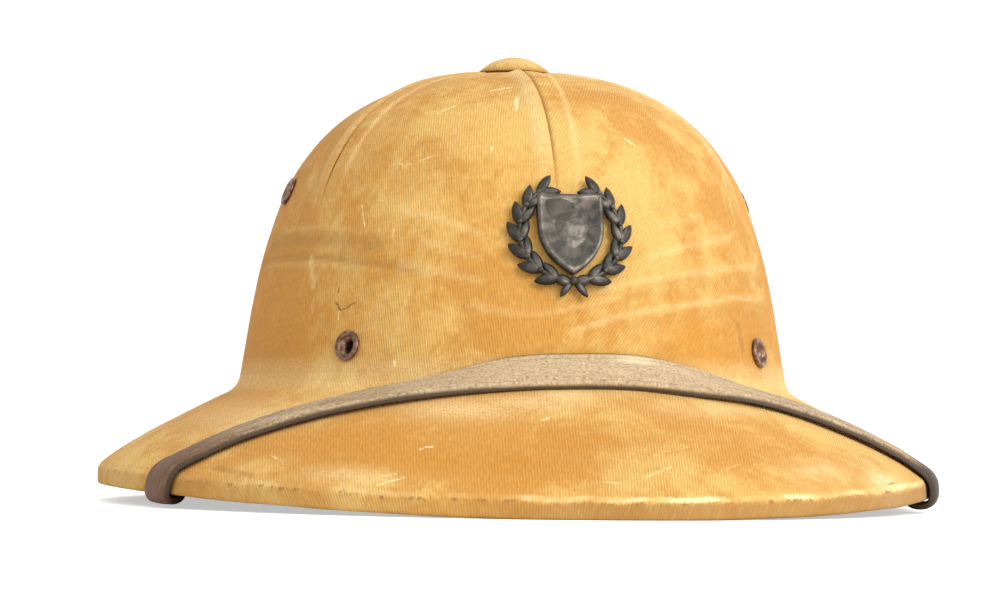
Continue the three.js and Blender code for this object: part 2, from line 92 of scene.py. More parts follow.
camera = bpy.data.objects.new("camera", bpy.data.cameras.new("camera"))
scene.collection.objects.link(camera)
camera.data.lens = LENS_MM
camera.data.shift_x = (IMAGE_WIDTH / 2 - AXIS_PIXEL_X) / IMAGE_WIDTH
camera.matrix_world = Matrix((right, above, -ahead)).transposed().to_4x4()
camera.location = -level * CAMERA_DISTANCE + Vector((0, 0, CAMERA_HEIGHT))
scene.camera = camera
print("camera at", camera.location)

# %% [markdown]
# ## Materials by small steps
# Every finish below is a node tree. Small helpers keep the trees short to read: one adds a node and fills
# its sockets, by a value or by a link, and the others wrap the nodes that are used most, for sums, for a
# soft step between two levels, for laying one colour over another, and for clouds of noise.

# %% Node helpers
def put(tree, kind, sockets=None, **settings):
    """Adds a shader node. A socket that is given another socket is linked to it."""
    made = tree.nodes.new("ShaderNode" + kind)
    for name, value in settings.items():
        setattr(made, name, value)
    for name, value in (sockets or {}).items():
        if isinstance(value, bpy.types.NodeSocket):
            tree.links.new(value, made.inputs[name])
        else:
            made.inputs[name].default_value = value
    return made


def sums(tree, operation, first, second=0.0):
    return put(tree, "Math", {0: first, 1: second}, operation=operation).outputs[0]


def times(tree, first, second):
    return sums(tree, "MULTIPLY", first, second)


def plus(tree, first, second):
    return sums(tree, "ADD", first, second)


def minus(tree, first, second):
    return sums(tree, "SUBTRACT", first, second)


def vectors(tree, operation, first, second=(0, 0, 0), third=(0, 0, 0), result="Vector"):
    sockets = {0: first, 1: second, 2: third}
    return put(tree, "VectorMath", sockets, operation=operation).outputs[result]


def step(tree, value, low, high, bottom=0.0, top=1.0):
    """A soft step of a value from one level to another."""
    sockets = {"Value": value, "From Min": low, "From Max": high, "To Min": bottom, "To Max": top}
    return put(tree, "MapRange", sockets, interpolation_type="SMOOTHSTEP").outputs[0]


def over(tree, share, under, colour, way="MIX"):
    """One colour laid over another by a share."""
    made = put(tree, "Mix", {0: share, 6: under, 7: colour}, data_type="RGBA", blend_type=way)
    return made.outputs[2]


def clouds(tree, place, scale, detail=3.0, rough=0.5, warp=0.0):
    sockets = {"Vector": place, "Scale": scale, "Detail": detail, "Roughness": rough, "Distortion": warp}
    return put(tree, "TexNoise", sockets).outputs["Fac"]


def stretched(tree, place, sizes):
    return put(tree, "Mapping", {"Vector": place, "Scale": sizes}).outputs[0]


def finish_tree(name):
    """A new material, its tree, its shader, and the object's own coordinates."""
    made = bpy.data.materials.new(name)
    made.use_nodes = True
    tree = made.node_tree
    shader = tree.nodes["Principled BSDF"]
    return made, tree, shader, put(tree, "TexCoord").outputs["Object"]


def painted(tree):
    """The pale, dark and warm marks that were painted on a mesh, as red, green and blue, with painted
    highlights among the pale and painted shade among the dark.
    """
    marks = put(tree, "Attribute", attribute_name="marks").outputs["Color"]
    return put(tree, "SeparateColor", {0: marks}).outputs


def woven(tree):
    """The cloth's or leather's own coordinates, in millimetres."""
    return put(tree, "UVMap", uv_map="weave").outputs[0]


def raised(tree, shader, height, depth_mm, strength=1.0):
    sockets = {"Height": height, "Distance": depth_mm * MM, "Strength": strength}
    tree.links.new(put(tree, "Bump", sockets).outputs[0], shader.inputs["Normal"])


# %% [markdown]
# ## Studio
# A pale floor and a bright surround give the even light of the photograph, and one large soft lamp at the
# front right washes out the right of the crown. The surround is white wherever the camera sees it, and as
# a light it is dimmer on the left, where the helmet falls off to brown. The floor glows a little as well,
# but for the camera alone, so that it lights nothing.

# %% Floor, world and lamp
FLOOR_HALF = 6.0
FLOOR_GLOW = 0.5
SKY_LEFT, SKY_RIGHT = 0.80, 1.34
KEY_PLACE = Vector((0.62, -1.35, 0.8))
KEY_WATTS = 15.0
KEY_SIZE = 0.8

bm = bmesh.new()
bmesh.ops.create_grid(bm, x_segments=2, y_segments=2, size=FLOOR_HALF)
floor = bpy.data.objects.new("floor", bpy.data.meshes.new("floor"))
bm.to_mesh(floor.data)
bm.free()
scene.collection.objects.link(floor)
floor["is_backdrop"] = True
pale, tree, shader, place = finish_tree("pale_floor")
shader.inputs["Base Color"].default_value = (0.88, 0.88, 0.87, 1)
shader.inputs["Roughness"].default_value = 0.9
shader.inputs["Specular IOR Level"].default_value = 0.1
shader.inputs["Emission Color"].default_value = (1, 1, 1, 1)
lit = times(tree, put(tree, "LightPath").outputs["Is Camera Ray"], FLOOR_GLOW)
tree.links.new(lit, shader.inputs["Emission Strength"])
floor.data.materials.append(pale)

scene.world = bpy.data.worlds.new("surround")
scene.world.use_nodes = True
sky = scene.world.node_tree
aside = put(sky, "SeparateXYZ", {0: put(sky, "TexCoord").outputs["Generated"]}).outputs["X"]
glow = step(sky, aside, -1.0, 1.0, SKY_LEFT, SKY_RIGHT)
seen = put(sky, "LightPath").outputs["Is Camera Ray"]
sky.links.new(sums(sky, "MAXIMUM", glow, seen), sky.nodes["Background"].inputs["Strength"])
sky.nodes["Background"].inputs["Color"].default_value = (1, 1, 1, 1)
scene.view_settings.view_transform = "Standard"


def lamp(name, place, aim, watts, size, colour=(1, 1, 1)):
    made = bpy.data.objects.new(name, bpy.data.lights.new(name, "AREA"))
    scene.collection.objects.link(made)
    made.data.energy = watts
    made.data.size = size
    made.data.color = colour
    made.location = place
    made.rotation_euler = (aim - place).to_track_quat("-Z", "Y").to_euler()


lamp("key", KEY_PLACE, Vector((0, 0, 0.07)), KEY_WATTS, KEY_SIZE, (1, 0.96, 0.88))
print("floor, world and lamp are set")

# %% [markdown]
# ## The helmet's form
# The shell was pressed from a blank. Here too the form starts round, as one outline that would be spun,
# and a pressing function then makes it oval and lets the brim droop at front and back. A point has a
# half-width r and a height z in millimetres, and an angle t round the crown: 0 is the front, which faces
# -Y, and t grows towards +X. Smooth runs are splines through a few measured points, and corners are arcs.

# %% Outline of the blank
CLOTH = 1.2
FIT = 0.35
SHELL = 2.2
SHELL_OUT = CLOTH + FIT
SHELL_IN = SHELL_OUT + SHELL
CROWN_ASPECT, BRIM_ASPECT = 1.19, 1.225
PRESS_FROM, PRESS_TO = 88.0, 139.5
SADDLE = 6.0
CROWN_ROWS = ((3.2, 146.6), (21.3, 145.2), (42.4, 139.6), (61.2, 128.0), (75.1, 110.7), (83.0, 90.2),
              (87.8, 69.2))
FOOT_CORNER, FOOT_RADIUS = Vector((92.9, 38.8)), 8.0
BRIM_ROWS = ((98, 36.2), (110, 30.2), (122, 23.9), (132, 17.8))
LIP_CORNER, LIP_RADIUS = Vector((139.5, 12.2)), 4.6
LIP_FOOT = 5.66
HEM_HEIGHT = 2.8
ROW_SPACING = 1.3


def soft_step(value, low, high):
    share = min(max((value - low) / (high - low), 0), 1)
    return share * share * (3 - 2 * share)


def press(r, z, t, lowest=0.0):
    """A point of the blank, pressed oval, in metres."""
    spread = soft_step(r, PRESS_FROM, PRESS_TO)
    aspect = CROWN_ASPECT + (BRIM_ASPECT - CROWN_ASPECT) * spread
    drop = SADDLE * spread * math.cos(t) ** 2
    return Vector((r * math.sin(t), -r * aspect * math.cos(t), max(z - drop, lowest))) * MM


def evenly(points, spacing):
    """The same run of points, walked in even steps of about one spacing."""
    reach = [0.0]
    for before, after in zip(points, points[1:]):
        reach.append(reach[-1] + (after - before).length)
    count = max(round(reach[-1] / spacing), 1)
    walked, leg = [], 0
    for stop in range(count + 1):
        goal = reach[-1] * stop / count
        while leg < len(points) - 2 and reach[leg + 1] < goal:
            leg += 1
        share = (goal - reach[leg]) / max(reach[leg + 1] - reach[leg], 1e-12)
        walked.append(points[leg].lerp(points[leg + 1], share))
    return walked


def spline(points, spacing, fine=24):
    """A smooth run through the points, in even steps."""
    ends = [points[0], *points, points[-1]]
    run = []
    for a, b, c, d in zip(ends, ends[1:], ends[2:], ends[3:]):
        leave, arrive = (c - a) / 2, (d - b) / 2
        for part in range(fine):
            s = part / fine
            square = 3 * (c - b) - 2 * leave - arrive
            run.append(b + leave * s + square * s ** 2 + (2 * (b - c) + leave + arrive) * s ** 3)
    return evenly([*run, points[-1]], spacing)


def round_corner(before, corner, after, radius, steps=8):
    """An arc that is tangent to the two lines that meet in a corner."""
    back, onward = (before - corner).normalized(), (after - corner).normalized()
    half = back.angle(onward) / 2
    centre = corner + (back + onward).normalized() * (radius / math.sin(half))
    start = corner + back * (radius / math.tan(half)) - centre
    end = corner + onward * (radius / math.tan(half)) - centre
    sweep = math.copysign(math.pi - 2 * half, start.x * end.y - start.y * end.x)
    turns = [Matrix.Rotation(sweep * i / steps, 2) for i in range(steps + 1)]
    return [centre + turn @ start for turn in turns]


wall = [Vector(row) for row in CROWN_ROWS]
slope = [Vector(row) for row in BRIM_ROWS]
lip_foot = Vector((LIP_CORNER.x, LIP_FOOT))
hem_foot = Vector((LIP_CORNER.x - SHELL_IN - FIT - CLOTH, LIP_FOOT))
hem_top = hem_foot + Vector((0, CLOTH + HEM_HEIGHT))
foot = round_corner(wall[-1], FOOT_CORNER, slope[0], FOOT_RADIUS)
shoulder = round_corner(slope[-1], LIP_CORNER, lip_foot, LIP_RADIUS)
crown_line = spline([*wall, foot[0]], ROW_SPACING)
slope_line = spline([foot[-1], *slope[1:], shoulder[0]], ROW_SPACING)
lip_turn = round_corner(shoulder[-1], lip_foot, hem_foot, CLOTH, 5)
hem_turn = round_corner(lip_foot, hem_foot, hem_top, CLOTH, 5)
lip_line = evenly([shoulder[-1], lip_turn[0]], 1.0)
top_line = [*foot, *slope_line[1:], *shoulder[1:]]
brim_line = [*top_line, *lip_line[1:], *lip_turn[1:], *hem_turn, hem_top]
print("crown rows:", len(crown_line), "brim rows:", len(brim_line))


# %% [markdown]
# A layer under the cloth is the same outline moved along its own normals. The seat of an eyelet or of the
# badge is a small frame on the cloth's face, with its z axis pointing out and its y axis pointing up.

# %% Layers and seats
def normals(line):
    """The outward normal at each point of an outline."""
    found = []
    for i in range(len(line)):
        along = line[min(i + 1, len(line) - 1)] - line[max(i - 1, 0)]
        found.append(Vector((-along.y, along.x)).normalized())
    return found


def layer(line, depth):
    return [point - normal * depth for point, normal in zip(line, normals(line))]


def at_height(height):
    """The crown's half-width at a height."""
    low = next(i for i, point in enumerate(crown_line) if point.y <= height)
    share = (crown_line[low - 1].y - height) / (crown_line[low - 1].y - crown_line[low].y)
    return crown_line[low - 1].lerp(crown_line[low], share).x


def seat(degrees, height):
    """A frame on the crown's cloth, looking out, with its y axis up."""
    t, nudge = math.radians(degrees), 0.5
    r = at_height(height)
    up = press(at_height(height + nudge), height + nudge, t) - press(r, height, t)
    across = press(r, height, t + 0.01) - press(r, height, t - 0.01)
    out = across.cross(up).normalized()
    up = out.cross(across).normalized()
    columns = Matrix((across.normalized(), up, out)).transposed().to_4x4()
    return Matrix.Translation(press(r, height, t)) @ columns


print("front seat:", seat(0, 86).translation)

# %% [markdown]
# ## Making a piece
# A mesh that is finished becomes an object at the origin. It rides on the helmet's one body and stands for
# its plain solid.

# %% From a mesh to a piece
def piece(bm, name, node, smooth=True):
    """Turns a mesh into a riding piece that stands for a node."""
    bmesh.ops.recalc_face_normals(bm, faces=bm.faces)
    for face in bm.faces:
        face.smooth = smooth
    made = bpy.data.objects.new(name, bpy.data.meshes.new(name))
    bm.to_mesh(made.data)
    bm.free()
    scene.collection.objects.link(made)
    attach(made, "root")
    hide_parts(node)
    return made


def thicken(made, thickness, offset=-1):
    wall = made.modifiers.new("wall", "SOLIDIFY")
    wall.thickness = thickness * MM
    wall.offset = offset


def applied(made):
    """Makes a piece's modifiers part of its mesh."""
    ready = made.evaluated_get(bpy.context.evaluated_depsgraph_get())
    mesh = bpy.data.meshes.new_from_object(ready)
    made.modifiers.clear()
    old, made.data = made.data, mesh
    bpy.data.meshes.remove(old)
    mesh.name = made.name
    return made


def dress(made, material):
    """Gives a whole piece one material."""
    made.data.materials.clear()
    made.data.materials.append(material)


def bore(made, places, radius):
    """Drills round holes through a finished wall."""
    bm = bmesh.new()
    for place in places:
        bmesh.ops.create_cone(bm, cap_ends=True, segments=32, radius1=radius * MM, radius2=radius * MM,
                              depth=24 * MM, matrix=place)
    drill = bpy.data.objects.new("drill", bpy.data.meshes.new("drill"))
    bm.to_mesh(drill.data)
    bm.free()
    scene.collection.objects.link(drill)
    hole = made.modifiers.new("hole", "BOOLEAN")
    hole.object = drill
    hole.operation = "DIFFERENCE"
    hole.solver = "MANIFOLD"
    applied(made)
    bpy.data.objects.remove(drill)


def paint(bm, uv_of, marks_of):
    """Writes the cloth's own coordinates and its pale, dark and warm marks on a mesh, painted highlights and
    painted shade among them.
    """
    weave = bm.loops.layers.uv.new("weave")
    marks = bm.verts.layers.float_color.new("marks")
    for vert in bm.verts:
        vert[marks] = (*marks_of(vert), 1)
    for face in bm.faces:
        for loop in face.loops:
            loop[weave].uv = uv_of(loop.vert)


# %% [markdown]
# ## Crown gores
# Each gore is a leaf of twill. Its far edge is folded and lies on top of the next gore, so a seam shows a
# rounded fold, a dark line in its shadow, and then a band where the next gore lies over the turned-in cloth.
# A grid is wrapped on the pressed form, because its rows and columns can then crowd where the fold is.
# Age shows too: creases and dents from handling, each one a line of points on the crown, and broad stains.

# %% Sizes of the seams, and the marks of age
GORES = 6
GORE_DEGREES = 360 / GORES
LAP_EDGE, LAP_RAISE = 3.4, 0.9
BAND_WIDTH = 7.8
BAND_RAISE = 0.5
FOLD_RAISE = 1.15
FOLD_WIDTH = 8.0
FOLD_ROLL = 1.7
SEAM_FLAT, SEAM_FULL = 92.0, 122.0
FIRST_COLUMNS = (0, 0.25, 0.6, 1.1, 2.0, 3.4, 5.0, 6.2, 6.8, 7.3, 7.8, 8.4, 9.2)
LAST_COLUMNS = (8.8, 7.4, 6.0, 4.8, 3.7, 2.8, 2.1, 1.5, 1.0, 0.65, 0.38, 0.17, 0)
MIDDLE_COLUMNS = 60
RIB_LEANS = (-40, 10, -40, 10, -40, 10)
# How much the cloth is painted paler at the crown's foot, as a painted highlight along the fillet, and how
# high above the foot that ends.
FOOT_HIGHLIGHT, FOOT_HIGHLIGHT_HEIGHT = 0.3, 7

# Each row: height of the ridge or, below zero, depth of the dent; half its width; how much paler; how much
# darker; and its points, as degrees round the crown and height.
CREASES = (
    (0.20, 0.9, 0.36, 0.0, ((0, 56), (10, 61), (19, 63.6), (30, 66), (40, 68.2), (57, 69.4))),
    (0.20, 1.0, 0.30, 0.0, ((6, 69), (15, 72), (25, 74.8), (38, 77.5), (56, 80))),
    (0.14, 1.1, 0.28, 0.0, ((18, 80), (29, 84.3), (45, 88.5))),
    (0.10, 1.2, 0.22, 0.0, ((21.6, 90.2), (34.7, 94.6))),
    (-0.12, 2.4, 0.0, 0.16, ((12, 58), (30, 62.5), (56, 65.5))),
    (-0.12, 2.6, 0.0, 0.12, ((15, 68.5), (38, 73.5), (56, 76))),
    (0.12, 0.9, 0.17, 0.0, ((-76, 90), (-60, 90), (-50, 88.4), (-41.7, 87.4))),
    (-0.22, 2.8, 0.0, 0.34, ((-84, 86), (-66, 86.5), (-50, 84.5), (-42, 82.5))),
    (-0.20, 1.1, 0.0, 0.46, ((-92, 81), (-70, 81), (-58, 80), (-48.5, 78.4), (-40.6, 76.6), (-31, 74.8))),
    (0.10, 0.9, 0.14, 0.0, ((-84, 78.6), (-58, 78), (-41, 74.6))),
    (0.08, 1.1, 0.24, 0.0, ((-37.7, 94.6), (-32.6, 92.8), (-25.6, 90.2), (-18.9, 86))),
    (0.08, 1.0, 0.22, 0.0, ((-31.9, 84.3), (-25, 81), (-18.7, 78.4))),
    (0.10, 1.1, 0.28, 0.0, ((-35.8, 76.6), (-27, 74), (-18.5, 71))),
    (0.08, 1.0, 0.22, 0.0, ((-20, 63.6), (-12.4, 61), (-5.5, 61), (1.5, 63.6), (10, 67))),
)

# Each row: a broad orange stain's degrees and height, its reach round and up in millimetres, its strength.
STAINS = (
    (-95, 78, 56, 62, 0.85),
    (-62, 58, 26, 24, 0.55),
    (38, 54, 46, 13, 0.80),
    (-30, 118, 20, 10, 0.35),
    (-8, 98, 16, 14, 0.30),
    (150, 84, 60, 40, 0.60),
    (100, 60, 40, 26, 0.50),
)


def along_line(points, degrees, height):
    """How far a place on the crown is from a line, in millimetres."""
    nearest = 1e9
    here = Vector((degrees, height))
    scale = 1.7 * max(at_height(height) / 88, 0.2)
    squeeze = Matrix(((scale, 0), (0, 1)))
    for before, after in zip(points, points[1:]):
        start, end = squeeze @ (Vector(before) - here), squeeze @ (Vector(after) - here)
        leg = end - start
        share = min(max(-start.dot(leg) / leg.length_squared, 0), 1)
        nearest = min(nearest, (start + leg * share).length)
    return nearest


def aged(degrees, height):
    """The lift, paling and darkening that the creases give a place."""
    lift = paling = darkening = 0.0
    for ridge, half, paled, darkened, points in CREASES:
        low = min(point[0] for point in points) - 4
        high = max(point[0] for point in points) + 4
        if not low < degrees < high:
            continue
        share = math.exp(-(along_line(points, degrees, height) / half) ** 2)
        lift += ridge * share
        paling = max(paling, paled * share)
        darkening = max(darkening, darkened * share)
    return lift, paling, darkening


def stained(degrees, height):
    """How orange a place on the crown is."""
    warm = 0.0
    r = at_height(min(max(height, crown_line[-1].y), crown_line[1].y))
    for at, middle, reach, rise, strength in STAINS:
        aside = math.radians((degrees - at + 180) % 360 - 180) * r
        warm = max(warm, strength * math.exp(-(aside / reach) ** 2 - ((height - middle) / rise) ** 2))
    return warm


def uneven(point, size, amount):
    """A slow unevenness of a hand-made surface."""
    return noise.noise(point / (size * MM)) * amount


def hand_made(point):
    """The unevenness that crown and brim share, so that their edges meet."""
    return uneven(point, 26, 0.24) + uneven(point, 8, 0.05)


print("columns in a gore:", len(FIRST_COLUMNS) + MIDDLE_COLUMNS + len(LAST_COLUMNS))


# %% One gore
def gore_reach(column, width):
    """How far a column lies from the gore's first edge, where the gore has a width."""
    crowd = min(1, width / (2 * (FIRST_COLUMNS[-1] + LAST_COLUMNS[0])))
    first, last = FIRST_COLUMNS[-1] * crowd, width - LAST_COLUMNS[0] * crowd
    if column < len(FIRST_COLUMNS):
        return FIRST_COLUMNS[column] * crowd
    middle = column - len(FIRST_COLUMNS) + 1
    if middle <= MIDDLE_COLUMNS:
        return first + (last - first) * middle / (MIDDLE_COLUMNS + 1)
    return width - LAST_COLUMNS[middle - MIDDLE_COLUMNS - 1] * crowd


def seam_lift(reach, width, walk):
    """Height of the band at a gore's first edge, and of the fold at its last edge."""
    crowd = min(1, width / (2 * (FIRST_COLUMNS[-1] + LAST_COLUMNS[0])))
    waver = noise.noise(Vector((walk / 5, width / 90, 0.5)))
    band_end = (BAND_WIDTH + 0.5 * waver) * crowd
    band = BAND_RAISE * (1 - soft_step(reach, band_end - 1.1 * crowd, band_end + 0.7 * crowd))
    band -= (BAND_RAISE + 0.3) * (1 - soft_step(reach, 0, 1.1 * crowd))
    left = width - reach
    fold = FOLD_RAISE * (1 - soft_step(left, 1.2 * crowd, FOLD_WIDTH * crowd))
    roll = max(1 - left / (FOLD_ROLL * crowd), 0)
    return band + fold - FOLD_RAISE * (1 - math.sqrt(max(1 - roll * roll, 0)))


def crown_gore(gore):
    rows = len(crown_line) - 1
    columns = len(FIRST_COLUMNS) + MIDDLE_COLUMNS + len(LAST_COLUMNS) - 1
    outward = normals(crown_line)
    lean = math.radians(RIB_LEANS[gore])
    seam = math.radians(GORE_DEGREES * gore)
    cloth, tones = {}, {}
    bm = bmesh.new()
    bmesh.ops.create_grid(bm, x_segments=columns, y_segments=rows, size=0.5)
    bm.verts.index_update()
    for vert in bm.verts:
        column, row = round((vert.co.x + 0.5) * columns), round((0.5 - vert.co.y) * rows)
        point, normal = crown_line[row], outward[row]
        width = math.radians(GORE_DEGREES) * point.x
        reach = gore_reach(column, width)
        crowd = min(1, width / (2 * (FIRST_COLUMNS[-1] + LAST_COLUMNS[0])))
        t = seam + (reach - LAP_EDGE * crowd) / point.x
        degrees = (math.degrees(t) + 180) % 360 - 180
        walk = row * ROW_SPACING
        stand = soft_step(point.y, SEAM_FLAT, SEAM_FULL)
        lift, paling, darkening = aged(degrees, point.y)
        lift += stand * seam_lift(reach, width, walk) + hand_made(press(point.x, point.y, t))
        lifted = point + normal * lift
        vert.co = press(lifted.x, lifted.y, t)
        across = reach - width / 2
        cloth[vert.index] = (across * math.cos(lean) - walk * math.sin(lean),
                             across * math.sin(lean) + walk * math.cos(lean))
        left = width - reach
        # Painted shade darkens the seam's line at both edges of a gore, and painted highlights pale the
        # fold's roll and the band's outer edge.
        gap = max(1 - reach / 1.0, 1 - left / 0.3, 0) * stand
        fold_highlight = math.exp(-((left - 3.2) / 2.4) ** 2) * 0.4 * stand
        band_highlight = math.exp(-((reach - BAND_WIDTH) / 1.0) ** 2) * 0.3 * stand
        risen = point.y - crown_line[-1].y
        # A painted highlight pales the fillet at the crown's foot.
        fillet_highlight = FOOT_HIGHLIGHT * (1 - soft_step(risen, 1, FOOT_HIGHLIGHT_HEIGHT))
        tones[vert.index] = (max(paling, fold_highlight, band_highlight, fillet_highlight), max(darkening, gap * 0.55),
                             stained(degrees, point.y))
    bm.verts.index_update()
    paint(bm, lambda vert: cloth[vert.index], lambda vert: tones[vert.index])
    made = piece(bm, f"crown_gore_cloth_{gore + 1}", f"crown_gore_{gore + 1}")
    thicken(made, CLOTH)
    return made


gores = [crown_gore(gore) for gore in range(GORES)]
print("gore faces:", len(gores[0].data.polygons))

# %% [markdown]
# ## Brim cover
# One cover lies over the brim, turns round the lip and is hemmed inside. Its outline is spun all the way
# round and then pressed. The cloth's own coordinates are those of the flat cover, so that the ribs run
# straight along the camera's view, over the lip and down its face.

# %% Spin and press a full ring
BRIM_COLUMNS = 360
RIB_TURN = CAMERA_TURN


def pressed_ring(line, columns, lift_of, lowest=0.0):
    """Spins an outline all round, presses it, and returns its mesh with each vertex's row and angle."""
    bm = bmesh.new()
    verts = [bm.verts.new((point.x, 0, point.y)) for point in line]
    edges = [bm.edges.new(pair) for pair in zip(verts, verts[1:])]
    bmesh.ops.spin(bm, geom=[*verts, *edges], axis=(0, 0, 1), cent=(0, 0, 0), angle=2 * math.pi,
                   steps=columns, use_merge=True)
    rows = {(round(point.x, 3), round(point.y, 3)): i for i, point in enumerate(line)}
    outward = normals(line)
    places = {}
    bm.verts.index_update()
    for vert in bm.verts:
        key = (round(math.hypot(vert.co.x, vert.co.y), 3), round(vert.co.z, 3))
        row = rows[key] if key in rows else min(
            range(len(line)), key=lambda i: (line[i] - Vector((key[0], key[1]))).length)
        t = math.atan2(vert.co.x, -vert.co.y)
        lifted = line[row] + outward[row] * lift_of(row, t)
        vert.co = press(lifted.x, lifted.y, t, lowest)
        places[vert.index] = (row, t)
    return bm, places


# %% Brim cover
RUNS = [0.0]
for before, after in zip(brim_line, brim_line[1:]):
    RUNS.append(RUNS[-1] + (after - before).length)
SHOULDER_ROW = len(foot) + len(slope_line) - 2

# Each row: degrees, half-width, reach across and along in millimetres, and strength of an orange patch.
PATCHES = (
    (-48, 125, 12, 7, 0.8),
    (-38.6, 121, 14, 9, 0.9),
    (-30, 124, 16, 9, 1.0),
    (-23.5, 127.4, 16, 6, 0.9),
    (-10, 128, 22, 9, 0.95),
    (-5.5, 120, 18, 9, 0.8),
    (1, 116, 20, 9, 0.75),
    (12, 112, 20, 10, 0.6),
    (20, 122, 26, 12, 0.45),
    (120, 118, 40, 16, 0.6),
    (-150, 122, 34, 14, 0.7),
    (172, 120, 30, 12, 0.5),
)


# The same for pale, dusty places.
DUSTY = (
    (-20, 105, 18, 5, 0.55),
    (-9, 101, 16, 4, 0.5),
    (-3, 97.5, 14, 4, 0.45),
    (44, 137, 9, 4, 0.8),
    (33, 131, 16, 4, 0.3),
    (-62, 112, 30, 10, 0.35),
    (-32, 135, 14, 3, 0.4),
    (24, 104, 24, 4, 0.3),
)


def brim_lift(row, t):
    point = brim_line[row]
    return hand_made(press(point.x, point.y, t))


def brim_marks(row, t):
    """How pale and how warm the brim's cloth is: pale dust, a painted highlight along the foot, and warm
    patches.
    """
    degrees, r = math.degrees(t), brim_line[row].x
    tints = []
    for rows in (PATCHES, DUSTY):
        tint = 0.0
        for at, half_width, across, along, strength in rows:
            aside = math.radians((degrees - at + 180) % 360 - 180) * r
            tint = max(tint, strength * math.exp(-(aside / across) ** 2 - ((r - half_width) / along) ** 2))
        tints.append(tint)
    warm, dust = tints
    walk = RUNS[row]
    # The same painted highlight pales the fillet at the brim's foot.
    fillet_highlight = FOOT_HIGHLIGHT * (1 - soft_step(walk, 3, FOOT_HIGHLIGHT_HEIGHT + 3))
    return max(dust, fillet_highlight), 0, warm * (1 - soft_step(walk, RUNS[SHOULDER_ROW], RUNS[SHOULDER_ROW] + 3))


bm, places = pressed_ring(brim_line, BRIM_COLUMNS, brim_lift)


def brim_cloth(vert):
    row, t = places[vert.index]
    flat = foot[0].x + RUNS[row]
    return flat * math.sin(t - RIB_TURN), -flat * math.cos(t - RIB_TURN)


paint(bm, brim_cloth, lambda vert: brim_marks(*places[vert.index]))
brim = piece(bm, "brim_cloth_cover", "brim_cover")
thicken(brim, CLOTH)
print("brim faces:", len(brim.data.polygons))

# %% [markdown]
# ## Fibre shell
# Under the cloth lies the pressed fibre shell, bare inside. It is the same outline one layer down, and the
# solidify modifier gives it its thickness inwards.

# %% Shell
SHELL_COLUMNS = 180
shell_line = layer([*crown_line, *top_line[1:], *lip_line[1:-1]], SHELL_OUT)
shell_line = [Vector((point.x, max(point.y, LIP_FOOT + SHELL_OUT))) for point in shell_line[::2]]
bm, places = pressed_ring(shell_line, SHELL_COLUMNS, lambda row, t: 0, SHELL_OUT)
shell = piece(bm, "pressed_shell", "fibre_shell")
thicken(shell, SHELL)
print("shell faces:", len(shell.data.polygons))

# %% [markdown]
# ## Holes
# Eyelets and the badge's post go through cloth and fibre. Each hole is drilled by a boolean with a round
# cutter that stands on the same seat as the piece that will fill it.

# %% Drill the eyelet holes
EYELET_PLACES = {
    "eyelet_front_left": (-46, 51),
    "eyelet_front_right": (48.3, 51),
    "eyelet_rear_left": (-133, 51),
    "eyelet_rear_right": (133, 51),
    "eyelet_side_left": (-83, 104),
    "eyelet_side_right": (83, 104),
}
EYELET_BARREL = 3.3
BADGE_HEIGHT = 86
BADGE_POST = 1.5
RIVET_HEIGHT = 50
RIVET_DEGREES = 73.2
RIVET_SHANK = 1.4
SHARP_DEGREES = 40
seats = {name: seat(*place) for name, place in EYELET_PLACES.items()}
badge_seat = seat(0, BADGE_HEIGHT)
rivet_seats = {"strap_rivet_left": seat(-RIVET_DEGREES, RIVET_HEIGHT),
               "strap_rivet_right": seat(RIVET_DEGREES, RIVET_HEIGHT)}

for gore, made in enumerate(gores):
    first = GORE_DEGREES * gore
    inside = [seats[name] for name, (degrees, height) in EYELET_PLACES.items()
              if first <= degrees % 360 < first + GORE_DEGREES]
    if inside:
        bore(made, inside, EYELET_BARREL + FIT)
for gore in (0, GORES - 1):
    bore(gores[gore], [badge_seat], BADGE_POST + FIT)
bore(shell, list(seats.values()), EYELET_BARREL + FIT)
bore(shell, [badge_seat], BADGE_POST + FIT)
bore(shell, list(rivet_seats.values()), RIVET_SHANK + FIT)
for made in (*gores, brim):
    applied(made).data.set_sharp_from_angle(angle=math.radians(SHARP_DEGREES))
print("holes are drilled")


# %% [markdown]
# ## Turned metal: eyelets and rivets
# An eyelet is a short tube whose outer end is rolled into a bead and whose inner end is clenched flat.
# Its half-section is drawn once and spun about its own axis, then stood on its seat.

# %% Spin small metal pieces
INSIDE_SEAT = SHELL_IN * CROWN_ASPECT + 1.5 * FIT


def turned(section, steps, place):
    """Spins a closed half-section of radius and height points about its axis and stands it on a seat."""
    bm = bmesh.new()
    verts = [bm.verts.new((radius * MM, 0, height * MM)) for radius, height in section]
    closed = [*zip(verts, verts[1:])]
    if section[0][0] > 0:
        closed.append((verts[-1], verts[0]))
    edges = [bm.edges.new(pair) for pair in closed]
    bmesh.ops.spin(bm, geom=[*verts, *edges], axis=(0, 0, 1), cent=(0, 0, 0), angle=2 * math.pi,
                   steps=steps, use_merge=True)
    bmesh.ops.remove_doubles(bm, verts=bm.verts, dist=1e-6)
    bmesh.ops.transform(bm, matrix=place, verts=bm.verts)
    return bm


def arc(centre, radius, start, end, steps):
    """Points of an arc, from one angle to another in degrees."""
    angles = [math.radians(start + (end - start) * i / steps) for i in range(steps + 1)]
    return [(centre[0] + radius * math.cos(a), centre[1] + radius * math.sin(a)) for a in angles]


